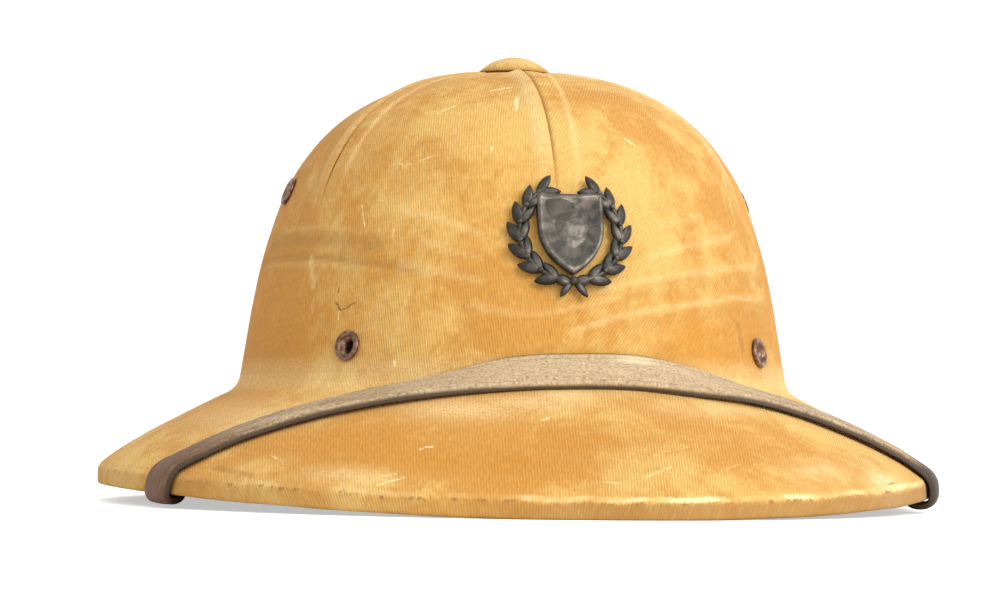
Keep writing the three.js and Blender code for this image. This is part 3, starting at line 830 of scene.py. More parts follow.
EYELET_BORE = 1.7
EYELET_FLANGE = 4.9
EYELET_INSIDE = 4.2
EYELET_BEAD = 0.72
BEAD_HEIGHT = FIT + 0.42
eyelet_section = [
    *arc((EYELET_FLANGE - EYELET_BEAD, BEAD_HEIGHT), EYELET_BEAD, -60, 80, 8),
    (EYELET_BARREL + 0.3, BEAD_HEIGHT + 0.68),
    (EYELET_BARREL - 0.1, BEAD_HEIGHT + 0.5),
    *arc((EYELET_BORE + 2.0, -1.5), 2.0, 105, 180, 8),
    (EYELET_BORE, -INSIDE_SEAT - 0.5),
    (EYELET_BORE + 0.3, -INSIDE_SEAT - 0.8),
    *arc((EYELET_INSIDE - 0.4, -INSIDE_SEAT - 0.4), 0.4, -90, 90, 6),
    (EYELET_BARREL, -INSIDE_SEAT),
    (EYELET_BARREL, FIT - 0.2),
]
eyelets = []
for name, place in seats.items():
    eyelets.append(piece(turned(eyelet_section, 48, place), name + "_ring", name))
print("eyelets:", len(eyelets))

# %% Rivets
STRAP_THICK = 1.5
STRAP_UNDER_LIFT = 0.9
RIVET_HEAD = 3.6
rivet_seat = -SHELL_IN - STRAP_UNDER_LIFT - STRAP_THICK - 2 * FIT
rivet_section = [
    (0, rivet_seat - 1.2),
    (1.6, rivet_seat - 1.08),
    (2.8, rivet_seat - 0.7),
    (RIVET_HEAD - 0.1, rivet_seat - 0.2),
    (RIVET_HEAD, rivet_seat),
    (RIVET_SHANK, rivet_seat),
    (RIVET_SHANK, -SHELL_OUT - FIT),
    (0, -SHELL_OUT - FIT),
]
rivets = []
for name, place in rivet_seats.items():
    rivets.append(piece(turned(rivet_section, 32, place), name + "_head", name))
print("rivets:", len(rivets))

# %% [markdown]
# ## Top button
# The button is a dome covered in the same twill, with the cloth gathered under its rim. Its outline is
# spun, and each vertex near the rim is moved in or out to make the gathers. Its shank and clench hold it.

# %% Button
BUTTON_RADIUS = 12.4
BUTTON_HEIGHT = 5.4
BUTTON_SEAT = CROWN_ROWS[0][1] + LAP_RAISE + FIT
BUTTON_PLEATS = 17
clench = CROWN_ROWS[0][1] - SHELL_IN - FIT
cap_radius = (BUTTON_RADIUS ** 2 + BUTTON_HEIGHT ** 2) / (2 * BUTTON_HEIGHT)
cap_angle = math.asin(BUTTON_RADIUS / cap_radius)
dome = [(cap_radius * math.sin(a), BUTTON_SEAT + BUTTON_HEIGHT - cap_radius * (1 - math.cos(a)))
        for a in (cap_angle * (1 - i / 24) for i in range(24))]
button_section = [
    (0, clench - 1.2),
    (4.6, clench - 1.2),
    (5.0, clench - 0.6),
    (4.6, clench),
    (2.5, clench),
    (2.5, BUTTON_SEAT - 0.3),
    (9.6, BUTTON_SEAT - 0.3),
    (BUTTON_RADIUS - 0.8, BUTTON_SEAT - 0.3),
    (BUTTON_RADIUS - 0.1, BUTTON_SEAT - 0.2),
    *dome,
    (0, BUTTON_SEAT + BUTTON_HEIGHT),
]
bm = turned(button_section, 136, Matrix.Identity(4))
tones, cloth = {}, {}
bm.verts.index_update()
for vert in bm.verts:
    radius = math.hypot(vert.co.x, vert.co.y) / MM
    t = math.atan2(vert.co.x, -vert.co.y)
    rim = soft_step(radius, 7.5, BUTTON_RADIUS) if vert.co.z > (BUTTON_SEAT - 0.4) * MM else 0
    pleat = math.sin(t * BUTTON_PLEATS + 2 * noise.noise(Vector((t * 2, 0, 0))))
    vert.co.x *= 1 + 0.012 * rim * pleat
    vert.co.y *= 1 + 0.012 * rim * pleat
    vert.co.z += uneven(vert.co, 6, 0.12 * MM)
    cloth[vert.index] = (vert.co.x / MM, vert.co.y / MM)
    # Painted shade darkens the gathers' inner folds and the rim's edge; the dome is a little paler away from
    # its rim.
    darkened = max(0.5 * rim * max(-pleat, 0), 0.5 * soft_step(radius, 11, 12))
    tones[vert.index] = (0.25 * (1 - rim), darkened, 0)
paint(bm, lambda vert: cloth[vert.index], lambda vert: tones[vert.index])
button = piece(bm, "top_button_cloth", "top_button")
print("button faces:", len(button.data.polygons))

# %% [markdown]
# ## Chin strap
# The strap lies over the front of the brim, goes round the lip at either side and runs under the brim to
# a rivet inside the crown. Two edge lines are laid on the form first, in the same rows as the solid's.
# A grid is then stretched between them: its columns crowd at the creased lines that run along a strap.

# %% The strap's two edges
STRAP_WIDTH = 9.0
STRAP_LIFT = 0.4
# Lower edge's degrees and half-width, then upper edge's, from left to right over the front.
STRAP_OVER_ROWS = (
    (-57, 134.7, -59.3, 130.4),
    (-53, 125.4, -55.5, 120.4),
    (-46, 114.6, -48, 109.2),
    (-36, 105.5, -37.3, 99.4),
    (-24, 99.1, -25, 93.2),
    (-12, 95.1, -12.3, 91.8),
    (0, 94.1, 0, 91.6),
    (12, 94.2, 12.4, 91.6),
    (24, 96.9, 24.6, 92.1),
    (36, 101.6, 37.2, 95.2),
    (46, 109.8, 47.8, 104),
    (53, 120.4, 55.4, 115.8),
    (57.4, 131.6, 60.2, 128.6),
)
# Lower and upper edge's degrees where the strap leaves the shoulder, leaves the hem, and ends.
SHOULDER_DEGREES, HEM_DEGREES, END_DEGREES = (58.4, 62.8), (61.5, 65.8), (70.7, 75.7)
STRAP_END_HEIGHT = 56
UNDER_HALF_WIDTHS = (128, 119, 110, 101)


def brim_height(r):
    """Height of the blank's face at a half-width on the crown's wall or on the brim."""
    line = [*crown_line, *top_line[1:]]
    far = next(i for i, point in enumerate(line) if point.x >= r)
    share = (r - line[far - 1].x) / (line[far].x - line[far - 1].x)
    return line[far - 1].lerp(line[far], share).y


def under(r):
    """A place under the fibre, at the strap's clearance, below a half-width of the face."""
    here = Vector((r, brim_height(r)))
    along = Vector((r + 0.5, brim_height(r + 0.5))) - Vector((r - 0.5, brim_height(r - 0.5)))
    return here - Vector((-along.y, along.x)).normalized() * (SHELL_IN + STRAP_UNDER_LIFT)


def strap_over():
    """Pairs of edge points where the strap lies over the front."""
    stations = []
    for low_t, low_r, high_t, high_r in STRAP_OVER_ROWS:
        low = press(low_r, brim_height(low_r), math.radians(low_t))
        high = press(high_r, brim_height(high_r), math.radians(high_t))
        across = (high - low).normalized() * STRAP_WIDTH * MM
        low += Vector((low.x, low.y, 0)).normalized() * STRAP_LIFT * MM + Vector((0, 0, STRAP_LIFT * MM))
        stations.append((low, low + across))
    return stations


def strap_under(side):
    """Pairs of edge points on one side, from the shoulder round the lip and up to the rivet."""
    around = layer(brim_line[SHOULDER_ROW:-1], -STRAP_LIFT)
    wall_foot = layer(crown_line, SHELL_IN + STRAP_UNDER_LIFT)
    end = min(wall_foot, key=lambda point: abs(point.y - STRAP_END_HEIGHT))
    inward = [*[under(r) for r in UNDER_HALF_WIDTHS], wall_foot[-1], end]
    stations = []
    for run, first, last in ((around, SHOULDER_DEGREES, HEM_DEGREES), (inward, HEM_DEGREES, END_DEGREES)):
        for i, point in enumerate(run):
            share = i / (len(run) - 1) if run is around else (i + 1) / len(run)
            angles = [side * math.radians(a + (b - a) * share) for a, b in zip(first, last)]
            stations.append(tuple(press(point.x, point.y, t, -1) for t in angles))
    return stations


def paired(stations):
    """Each pair of edge points as one long vector, so that both edges are walked together."""
    return [Vector((*low, *high)) for low, high in stations]


def relaxed(track, reach):
    """The same track with each point moved to the mean of its neighbours."""
    eased = []
    for i in range(len(track)):
        near = min(i, len(track) - 1 - i, reach)
        eased.append(sum(track[i - near:i + near + 1], Vector([0.0] * 6)) / (2 * near + 1))
    return eased


TRACK_SPACING = 0.0012
front = spline(paired(strap_over()), TRACK_SPACING)
track = [*paired(strap_under(-1))[::-1], *front, *paired(strap_under(1))]
track = relaxed(evenly(track, TRACK_SPACING), 2)
edges = [[Vector(pair[:3]) for pair in track], [Vector(pair[3:]) for pair in track]]
middles = [(low + high) / 2 for low, high in zip(*edges)]
reach = sum((b - a).length for a, b in zip(middles, middles[1:])) / MM
print("strap rows:", len(track), "length, mm:", round(reach, 1))

# %% The strap
STRAP_ROWS = len(track) - 1
# Share of the width and height of the face there: rounded edges and three creased lines.
STRAP_SECTION = (
    (0, -1.0), (0.012, -0.68), (0.03, -0.38), (0.055, -0.14), (0.09, -0.03), (0.105, -0.05), (0.12, -0.2),
    (0.135, -0.05), (0.165, 0.0), (0.19, -0.05), (0.205, -0.22), (0.22, -0.05), (0.26, 0.02), (0.4, 0.08),
    (0.55, 0.1), (0.7, 0.06), (0.83, 0.0), (0.865, -0.05), (0.88, -0.18), (0.895, -0.05), (0.93, -0.06),
    (0.965, -0.2), (0.985, -0.45), (1, -0.8),
)
STRAP_SETTLE, STRAP_SPARE = 0.2, 0.1


def strap_point(edges, row):
    low, high = edges[0][row], edges[1][row]
    before, after = max(row - 1, 0), min(row + 1, len(edges[0]) - 1)
    run = edges[0][after] + edges[1][after] - edges[0][before] - edges[1][before]
    return low, high, run.cross(high - low).normalized()


bm = bmesh.new()
strap_columns = len(STRAP_SECTION) - 1
bmesh.ops.create_grid(bm, x_segments=strap_columns, y_segments=STRAP_ROWS, size=0.5)
bm.verts.index_update()
cloth = {}
for vert in bm.verts:
    column, row = round((vert.co.x + 0.5) * strap_columns), round((vert.co.y + 0.5) * STRAP_ROWS)
    share, height = STRAP_SECTION[column]
    low, high, out = strap_point(edges, row)
    walk = (row / STRAP_ROWS - 0.5) * reach
    dent = uneven(Vector((walk * MM, share * 6 * MM, 0)), 9, 0.08)
    vert.co = low.lerp(high, share) + out * (STRAP_THICK - STRAP_SETTLE + height + dent) * MM
    cloth[vert.index] = (share * STRAP_WIDTH, walk)
paint(bm, lambda vert: cloth[vert.index], lambda vert: (0, 0, 0))
strap = piece(bm, "chin_strap_leather", "chin_strap")
thicken(strap, STRAP_THICK - STRAP_SPARE)
print("strap faces:", len(strap.data.polygons))

# %% [markdown]
# ## Cast badge
# A plain shield stands in a laurel wreath tied with a bow. It is cast in one, so every part of it is
# joined in one mesh, drawn flat and then bent to the crown. A leaf is a small grid drawn to a point at
# both ends, with a ridge along its middle. The shield is a filled outline, inset and raised by steps.

# %% Parts of the badge
BADGE_BEND_ACROSS, BADGE_BEND_UP = 72.0, 220.0
BADGE_GAP = 0.7
BADGE_STAND = LAP_RAISE / 2 * CROWN_ASPECT + 2 * FIT + BADGE_GAP
WREATH_RADIUS = 16.2
WREATH_PAIRS = 7
WREATH_FROM, WREATH_TO = 24, 150
LEAF_HALF, LEAF_HALF_WIDTH, LEAF_RISE = 3.9, 1.55, 1.15
SHIELD_HALF_WIDTH, SHIELD_TOP, SHIELD_DIP = 10.3, 13.3, 1.1
SHIELD_WAIST, SHIELD_BELLY, SHIELD_POINT = 2.0, -7.8, -14.0
# Each step inwards from the shield's edge: how far its outline shrinks, and how far it rises.
SHIELD_STEPS = ((0.965, 0.3), (0.9, 0.1), (0.96, -0.75), (0.8, 0.15), (0.7, 0.25), (0.5, 0.2))


def leaf(bm, x, y, angle, half=LEAF_HALF, half_width=LEAF_HALF_WIDTH, rise=LEAF_RISE, twist=0.0):
    """A leaf with a ridge, its tip bent up a little, closed underneath."""
    made = bmesh.ops.create_grid(bm, x_segments=10, y_segments=6, size=1)["verts"]
    for vert in made:
        u, v = vert.co.x, vert.co.y
        belly = (1 - u * u) ** 0.72 * (1 - 0.18 * u)
        ridge = 0.35 + 0.65 * (1 - abs(v)) ** 0.8 - 0.35 * math.exp(-(v / 0.16) ** 2) * (1 - u * u)
        vert.co = Vector((u * half, v * belly * half_width, 0.8 + rise * belly * ridge + twist * v))
    rim = bmesh.ops.extrude_edge_only(bm, edges=list({e for vert in made for e in vert.link_edges
                                                      if e.is_boundary}))
    skirt = [item for item in rim["geom"] if isinstance(item, bmesh.types.BMVert)]
    for vert in skirt:
        vert.co.z = 0
    place = Matrix.Translation((x, y, 0)) @ Matrix.Rotation(angle, 4, "Z")
    bmesh.ops.transform(bm, matrix=place, verts=[*made, *skirt])


def branch(bm, side):
    """One side of the wreath: a stem, and pairs of leaves along it."""
    def at(degrees, radius):
        t = math.radians(degrees)
        return Vector((side * radius * math.sin(t), -radius * math.cos(t), 0))

    stem = [bm.verts.new(at(0, WREATH_RADIUS + 0.8 * math.cos(a)) + Vector((0, 0, 0.9 + 0.8 * math.sin(a))))
            for a in (math.tau * i / 8 for i in range(8))]
    ring = [bm.edges.new((stem[i], stem[i - 1])) for i in range(8)]
    bmesh.ops.spin(bm, geom=[*stem, *ring], axis=(0, 0, side), cent=(0, 0, 0),
                   angle=math.radians(WREATH_TO), steps=30)
    for pair in range(WREATH_PAIRS):
        degrees = WREATH_FROM + (WREATH_TO - WREATH_FROM) * pair / (WREATH_PAIRS - 1)
        for lean in (-1, 1):
            spot = at(degrees + 4, WREATH_RADIUS + lean * 1.5)
            along = side * (math.radians(degrees) - lean * math.radians(27))
            leaf(bm, spot.x, spot.y, along + (math.pi if side < 0 else 0), twist=0.25 * lean * side)
        berry = at(degrees - 6, WREATH_RADIUS)
        if pair:
            bmesh.ops.create_icosphere(bm, subdivisions=2, radius=0.85,
                                       matrix=Matrix.Translation(berry + Vector((0, 0, 1.7))))


def quarter(start, control, end, steps=10):
    return [start * (1 - s) ** 2 + control * (2 * s * (1 - s)) + end * s * s
            for s in (i / steps for i in range(steps))]


def shield(bm):
    """A heater shield with a raised rim round a field that swells a little."""
    corner, waist = Vector((SHIELD_HALF_WIDTH, SHIELD_TOP)), Vector((SHIELD_HALF_WIDTH, SHIELD_WAIST))
    top, point = Vector((0, SHIELD_TOP - SHIELD_DIP)), Vector((0, SHIELD_POINT))
    belly = Vector((SHIELD_HALF_WIDTH, SHIELD_BELLY))
    right_side = [*quarter(top, Vector((SHIELD_HALF_WIDTH / 2, top.y)), corner),
                  *evenly([corner, waist], 1.2)[:-1], *quarter(waist, belly, point), point]
    outline = [*right_side, *[Vector((-p.x, p.y)) for p in right_side[-2:0:-1]]]
    face = bm.faces.new([bm.verts.new((p.x, p.y, -0.7)) for p in outline])
    if face.normal.z < 0:
        face.normal_flip()
    wall = bmesh.ops.extrude_face_region(bm, geom=[face])["geom"]
    bmesh.ops.translate(bm, vec=(0, 0, 2.5), verts=[v for v in wall if isinstance(v, bmesh.types.BMVert)])
    field = next(f for f in wall if isinstance(f, bmesh.types.BMFace))
    for scale, rise in SHIELD_STEPS:
        wall = bmesh.ops.extrude_face_region(bm, geom=[field])["geom"]
        verts = [v for v in wall if isinstance(v, bmesh.types.BMVert)]
        bmesh.ops.scale(bm, vec=(scale, scale, 1), verts=verts)
        bmesh.ops.translate(bm, vec=(0, 0, rise), verts=verts)
        field = next(f for f in wall if isinstance(f, bmesh.types.BMFace))


def bow(bm):
    """The ribbon that ties the branches: a knot, two loops and two tails."""
    for side in (-1, 1):
        leaf(bm, side * 3.0, -WREATH_RADIUS + 0.3, 0.3 * side, 2.9, 1.7, 1.3, 0.2 * side)
        leaf(bm, side * 2.4, -WREATH_RADIUS - 2.3, math.radians(-90 + side * 38), 3.2, 1.1, 0.9)
    bmesh.ops.create_uvsphere(bm, u_segments=14, v_segments=8, radius=1.5,
                              matrix=Matrix.Translation((0, -WREATH_RADIUS, 1.1)))


# %% Cast the badge
RUBBED_HEIGHTS = (1.2, 2.2)
bm = bmesh.new()
shield(bm)
branch(bm, -1)
branch(bm, 1)
bow(bm)
post_length = INSIDE_SEAT + 3.4
bmesh.ops.create_cone(bm, cap_ends=True, segments=20, radius1=BADGE_POST, radius2=BADGE_POST,
                      depth=post_length, matrix=Matrix.Translation((0, 0, 1 - post_length / 2)))
bmesh.ops.remove_doubles(bm, verts=bm.verts, dist=1e-5)
tones = {}
bm.verts.index_update()
for vert in bm.verts:
    tones[vert.index] = (soft_step(vert.co.z, *RUBBED_HEIGHTS), 0, 0)
    sink = vert.co.x ** 2 / (2 * BADGE_BEND_ACROSS) + vert.co.y ** 2 / (2 * BADGE_BEND_UP)
    vert.co.z += BADGE_STAND - sink
bmesh.ops.scale(bm, vec=(MM, MM, MM), verts=bm.verts)
bmesh.ops.transform(bm, matrix=badge_seat, verts=bm.verts)
paint(bm, lambda vert: (vert.co.x, vert.co.z), lambda vert: tones[vert.index])
badge = piece(bm, "cast_badge", "badge")
print("badge faces:", len(badge.data.polygons))

# %% The nut inside
NUT_RADIUS, NUT_HEIGHT = 4.6, 2.4
NUT_NOTCHES = 24
nut_section = [
    (BADGE_POST + 0.05, -INSIDE_SEAT - NUT_HEIGHT),
    (NUT_RADIUS - 0.4, -INSIDE_SEAT - NUT_HEIGHT),
    (NUT_RADIUS, -INSIDE_SEAT - NUT_HEIGHT + 0.4),
    (NUT_RADIUS, -INSIDE_SEAT - 0.4),
    (NUT_RADIUS - 0.4, -INSIDE_SEAT),
    (BADGE_POST + 0.05, -INSIDE_SEAT),
]
bm = turned(nut_section, 2 * NUT_NOTCHES, Matrix.Identity(4))
for vert in bm.verts:
    turn = round(math.atan2(vert.co.y, vert.co.x) / math.tau * 2 * NUT_NOTCHES)
    if math.hypot(vert.co.x, vert.co.y) > 3 * MM and turn % 2:
        vert.co.x *= 0.95
        vert.co.y *= 0.95
bmesh.ops.transform(bm, matrix=badge_seat, verts=bm.verts)
nut = piece(bm, "badge_thumb_nut", "badge_nut")
print("nut faces:", len(nut.data.polygons))


# %% [markdown]
# ## Twill
# The cloth is a cotton twill: fine ribs, broken into short dashes where the yarns cross, sun-bleached and
# stained. The ribs come from the cloth's own coordinates in millimetres, so that they follow each gore.
# Colour is laid on in order: a slow change from ochre to straw, warm stains, the ribs' grooves darkened as
# painted shade, then the marks that were painted on the mesh, with dust, rubs and darker dents, and with
# painted highlights and painted shade, the brim's worn lip with its face darkened by dirt and painted shade,
# and last the scratches and tears, which are strokes along the lines that are listed here.

# %% Scratches, specks and tears
# Each row: half its width, its strength, and its points, as degrees and height on the crown.
CROWN_PALE = (
    (0.55, 1.0, ((-20.4, 135), (-12.9, 136.4))),
    (0.45, 0.9, ((-19.2, 133), (-13.5, 135))),
    (1.0, 1.0, ((-11.1, 132), (-11.5, 127.4))),
    (0.6, 0.9, ((-34.9, 126.8), (-30.1, 129.2))),
    (0.9, 1.0, ((-17.6, 113.8), (-17.3, 113.3))),
    (0.4, 0.7, ((-40.4, 109.1), (-37.2, 109.1))),
    (0.4, 0.7, ((-35.2, 109.9), (-31.7, 112.3))),
    (0.4, 0.7, ((-48.1, 96.3), (-46.2, 89.3))),
    (0.4, 0.6, ((-43.8, 97.2), (-41.9, 97.2))),
    (0.7, 1.0, ((18.2, 118.4), (20.1, 116.2))),
    (0.4, 0.6, ((-38.6, 88.5), (-38.2, 84.3))),
    (1.8, 0.24, ((-60.8, 80.1), (-58.3, 70.2))),
    (1.2, 0.2, ((-57.9, 66), (-57.4, 62.4))),
    (0.6, 0.7, ((-49.5, 61.8), (-49.3, 59.6))),
    (1.0, 0.8, ((-35.2, 45.9), (-35, 45.3))),
    (0.8, 0.5, ((52.7, 109.9), (49.2, 96.3))),
)
CROWN_DARK = (
    (0.7, 0.9, ((-50.3, 69.2), (-50.2, 68.2))),
    (0.6, 1.0, ((-50.6, 64.8), (-49, 62.4))),
    (0.55, 0.9, ((-49, 62.4), (-46.8, 63.6), (-45.6, 64.8))),
    (0.6, 0.7, ((-64.5, 53.4), (-64.3, 53))),
    (0.5, 0.7, ((-21.7, 63.6), (-21.5, 63.2))),
    (2.2, 0.35, ((41.6, 59.8), (41.9, 52.2))),
)
# The same on the brim, as degrees and half-width.
BRIM_PALE = (
    (0.5, 0.9, ((-45.8, 129.1), (-43.7, 131))),
    (0.8, 0.8, ((-24.6, 123), (-23.2, 121.8))),
    (0.6, 0.9, ((-28.5, 137.4), (-25.6, 134.6))),
    (0.45, 0.7, ((-29.5, 135.4), (-26.6, 133.2))),
    (0.8, 0.8, ((-7.3, 109.4), (-6.4, 108.2))),
    (0.6, 0.9, ((4.9, 132), (8.9, 128.2))),
    (0.4, 0.9, ((-1, 134.1), (1.5, 134.1))),
    (0.4, 0.5, ((7.6, 123.4), (13.8, 120.1))),
    (0.4, 0.5, ((15.8, 129.5), (20.6, 127))),
    (0.5, 0.5, ((38.6, 111.6), (43.6, 114.7))),
)
BRIM_DARK = (
    (1.6, 0.35, ((-53, 136), (-46, 137.5))),
    (0.5, 0.7, ((44, 138.2), (47, 138))),
)


# How far a stroke strays from its line, and how fine its ragged edge is.
TREMBLE, TREMBLE_SCALE = 2.2, 480


def on_crown(degrees, height):
    return press(at_height(height), height, math.radians(degrees))


def on_brim(degrees, r):
    return press(r, brim_height(r), math.radians(degrees))


def strokes(tree, place, rows, to_place):
    """A mask of ragged strokes: how near each place is to the nearest of some lines."""
    tremble = put(tree, "TexNoise", {"Vector": place, "Scale": TREMBLE_SCALE, "Detail": 3}).outputs["Color"]
    tremble = vectors(tree, "SUBTRACT", tremble, (0.5, 0.5, 0.5))
    here = vectors(tree, "MULTIPLY_ADD", tremble, [TREMBLE * MM] * 3, place)
    mask = 0.0
    for half, strength, points in rows:
        ends = [to_place(*point) for point in points]
        for start, end in zip(ends, ends[1:]):
            leg = end - start
            off = vectors(tree, "SUBTRACT", here, start)
            share = vectors(tree, "DOT_PRODUCT", off, leg / leg.length_squared, result="Value")
            share = put(tree, "Clamp", {"Value": share}).outputs[0]
            nearest = put(tree, "VectorMath", {0: leg, "Scale": share}, operation="SCALE").outputs[0]
            gap = vectors(tree, "DISTANCE", off, nearest, result="Value")
            near = step(tree, gap, 0.3 * half * MM, half * MM, strength, 0.0)
            mask = sums(tree, "MAXIMUM", mask, near)
    return mask


print("strokes:", len(CROWN_PALE) + len(CROWN_DARK) + len(BRIM_PALE) + len(BRIM_DARK))

# %% Twill material
OCHRE, STRAW = (0.58, 0.285, 0.060, 1), (0.71, 0.45, 0.140, 1)
RUST, SOIL, PALE = (0.56, 0.235, 0.026, 1), (0.25, 0.125, 0.042, 1), (0.95, 0.76, 0.42, 1)
LIP_DIRT_AND_SHADE = (0.33, 0.165, 0.052, 1)
LEFT_SIDE = -55


def beside(tree, place, left, right):
    """A level for the left of the helmet's front, and another for the rest."""
    aside = put(tree, "SeparateXYZ", {0: place}).outputs["X"]
    return step(tree, aside, LEFT_SIDE * MM, 0.0, left, right)


def worn_lip(tree, cloth, place, colour):
    """The lip: a bright chafed line along its corner, and a face below it darkened by dirt and painted
    shade.
    """
    flat = vectors(tree, "LENGTH", cloth, result="Value")
    below = minus(tree, flat, foot[0].x + RUNS[SHOULDER_ROW])
    fray = minus(tree, clouds(tree, cloth, 0.9, 4.0, 0.75), 0.5)
    sway = minus(tree, clouds(tree, cloth, 0.08, 2.0), 0.5)
    edge = plus(tree, below, plus(tree, times(tree, fray, 2.6), times(tree, sway, 2.0)))
    # The lip's face, turned out and down, is darkened by dirt and by painted shade, less on the left.
    dirt_and_shade = times(tree, step(tree, edge, 2.6, 4.4), beside(tree, place, 0.22, 0.74))
    colour = over(tree, dirt_and_shade, colour, LIP_DIRT_AND_SHADE)
    streak = clouds(tree, stretched(tree, cloth, (1.4, 0.2, 1)), 1.0, 4.0, 0.7)
    colour = over(tree, times(tree, dirt_and_shade, step(tree, streak, 0.5, 0.7, 0, 0.45)), colour, STRAW)
    foul = times(tree, step(tree, edge, 4.2, 3.4), step(tree, edge, 2.4, 3.2))
    foul = times(tree, foul, step(tree, clouds(tree, place, 260, 3.0, 0.7), 0.52, 0.62, 0, 0.75))
    colour = over(tree, foul, colour, SOIL)
    line = times(tree, step(tree, edge, 1.0, 2.0), step(tree, edge, 3.4, 2.6))
    patchy = step(tree, clouds(tree, place, 55, 4.0, 0.6), 0.38, 0.62, 0.1, 0.85)
    line = times(tree, times(tree, line, patchy), beside(tree, place, 0.25, 1.0))
    return over(tree, line, colour, PALE)


def twill(name, pitch, pick_share, pale_rows, dark_rows, to_place):
    made, tree, shader, place = finish_tree(name)
    cloth = woven(tree)
    marks = painted(tree)
    axes = put(tree, "SeparateXYZ", {0: cloth})
    waver = times(tree, clouds(tree, cloth, 0.35, 2.0), 0.7)
    phase = times(tree, plus(tree, axes.outputs[0], waver), math.tau / pitch)
    rib = sums(tree, "SINE", phase)
    pick = sums(tree, "SINE", times(tree, axes.outputs[1], math.tau / (2.1 * pitch)))
    yarn = plus(tree, rib, times(tree, pick, pick_share))
    slub = clouds(tree, stretched(tree, cloth, (1.6, 0.35, 1)), 1.0, 3.0, 0.6)

    slow = clouds(tree, place, 15, 3.0, 0.55, 0.5)
    stain = clouds(tree, place, 36, 4.0, 0.62, 0.9)
    fleck = clouds(tree, place, 150, 4.0, 0.68, 0.5)
    mottle = plus(tree, times(tree, slow, 0.42), times(tree, stain, 0.36))
    mottle = plus(tree, mottle, times(tree, fleck, 0.22))
    warm = times(tree, marks["Blue"], step(tree, stain, 0.25, 0.6, 0.55, 1.0))
    bleach = step(tree, minus(tree, mottle, times(tree, warm, 0.10)), 0.43, 0.57)
    colour = over(tree, bleach, OCHRE, STRAW)
    rust = times(tree, warm, step(tree, mottle, 0.38, 0.56, 1.0, 0.45))
    colour = over(tree, rust, colour, RUST)
    # Painted shade darkens the ribs' grooves in patches, weaker on the left of the brim.
    groove_shade = step(tree, clouds(tree, place, 24, 2.0), 0.35, 0.62, 0.08, 0.30)
    if to_place is on_brim:
        groove_shade = times(tree, groove_shade, beside(tree, place, 0.3, 1.15))
    colour = over(tree, times(tree, step(tree, yarn, -1.1, 0.3, 1.0, 0.0), groove_shade), colour, SOIL)
    speck = step(tree, slub, 0.35, 0.7, 0.90, 1.10)
    colour = over(tree, 1.0, colour, put(tree, "CombineColor", {0: speck, 1: speck, 2: speck}).outputs[0],
                  "MULTIPLY")
    # Green marks darken the cloth along the creases' dents, and as painted shade in the seams and the
    # button's gathers.
    grime_and_shade = times(tree, marks["Green"], step(tree, stain, 0.25, 0.7, 0.6, 1.0))
    colour = over(tree, grime_and_shade, colour, SOIL)
    # Red marks pale the cloth: dust on the brim, the creases' ridges, the button's dome, and painted
    # highlights on the seams' folds and edges and along the foot.
    chafe_and_highlight = clouds(tree, stretched(tree, cloth, (0.8, 1.3, 1)), 1.0, 4.0, 0.7)
    ragged = step(tree, chafe_and_highlight, 0.34, 0.60, 0.2, 1.0)
    colour = over(tree, times(tree, marks["Red"], ragged), colour, PALE)
    if to_place is on_brim:
        colour = worn_lip(tree, cloth, place, colour)
    scratch = times(tree, strokes(tree, place, pale_rows, to_place), ragged)
    colour = over(tree, scratch, colour, PALE)
    tear = strokes(tree, place, dark_rows, to_place)
    colour = over(tree, tear, colour, SOIL)
    tree.links.new(colour, shader.inputs["Base Color"])
    tree.links.new(step(tree, stain, 0.2, 0.8, 0.82, 0.95), shader.inputs["Roughness"])
    shader.inputs["Specular IOR Level"].default_value = 0.12
    shader.inputs["Sheen Weight"].default_value = 0.04
    shader.inputs["Sheen Roughness"].default_value = 0.6
    fuzz = plus(tree, yarn, times(tree, slub, 1.6))
    fuzz = plus(tree, fuzz, times(tree, minus(tree, scratch, tear), 2.0))
    raised(tree, shader, fuzz, 0.04)
    return made


crown_twill = twill("crown_twill", 0.80, 0.22, CROWN_PALE, CROWN_DARK, on_crown)
brim_twill = twill("brim_twill", 0.92, 0.12, BRIM_PALE, BRIM_DARK, on_brim)
for made in (*gores, button):
    dress(made, crown_twill)
dress(brim, brim_twill)
print("twill is woven")

# %% [markdown]
# ## Pressed fibre, leather and metals
# The fibre is a brown board with short fibres and darker blots. The leather is worn: it is paler at its
# middle, with light and dark flecks and streaks along its length, a bare patch with a painted highlight
# along the upper edge, dark ends, dark creased lines and burnished edges. The metals are dull and
# blotched, and the badge is lighter where it is rubbed.

# %% Fibre
def pressed_fibre():
    made, tree, shader, place = finish_tree("pressed_fibre")
    blots = clouds(tree, place, 35, 4.0, 0.6, 0.5)
    fibres = clouds(tree, stretched(tree, place, (1, 1, 0.3)), 900, 4.0, 0.7)
    colour = over(tree, step(tree, blots, 0.35, 0.7), (0.30, 0.205, 0.105, 1), (0.19, 0.12, 0.058, 1))
    colour = over(tree, step(tree, fibres, 0.5, 0.72, 0, 0.5), colour, (0.44, 0.33, 0.19, 1))
    tree.links.new(colour, shader.inputs["Base Color"])
    tree.links.new(step(tree, fibres, 0.3, 0.7, 0.75, 0.92), shader.inputs["Roughness"])
    raised(tree, shader, plus(tree, fibres, times(tree, blots, 2.0)), 0.12)
    return made


dress(shell, pressed_fibre())


# %% Leather
UMBER, TAN, WORN = (0.20, 0.12, 0.062, 1), (0.46, 0.33, 0.19, 1), (0.68, 0.52, 0.31, 1)
BURNISH = (0.055, 0.034, 0.02, 1)
CREASE_LINES = (1.08, 1.85, 7.92)
# Middle of a pale place along the strap's upper edge, wear and a painted highlight, and how distances across
# and along the strap count there.
WORN_HIGHLIGHT_PLACE, WORN_HIGHLIGHT_SHARES = (7.6, 18.0, 0.0), (0.6, 0.09, 1.0)
# Where the dark ends begin and are complete, along the strap.
LEFT_END, RIGHT_END = (-90, -122), (116, 130)


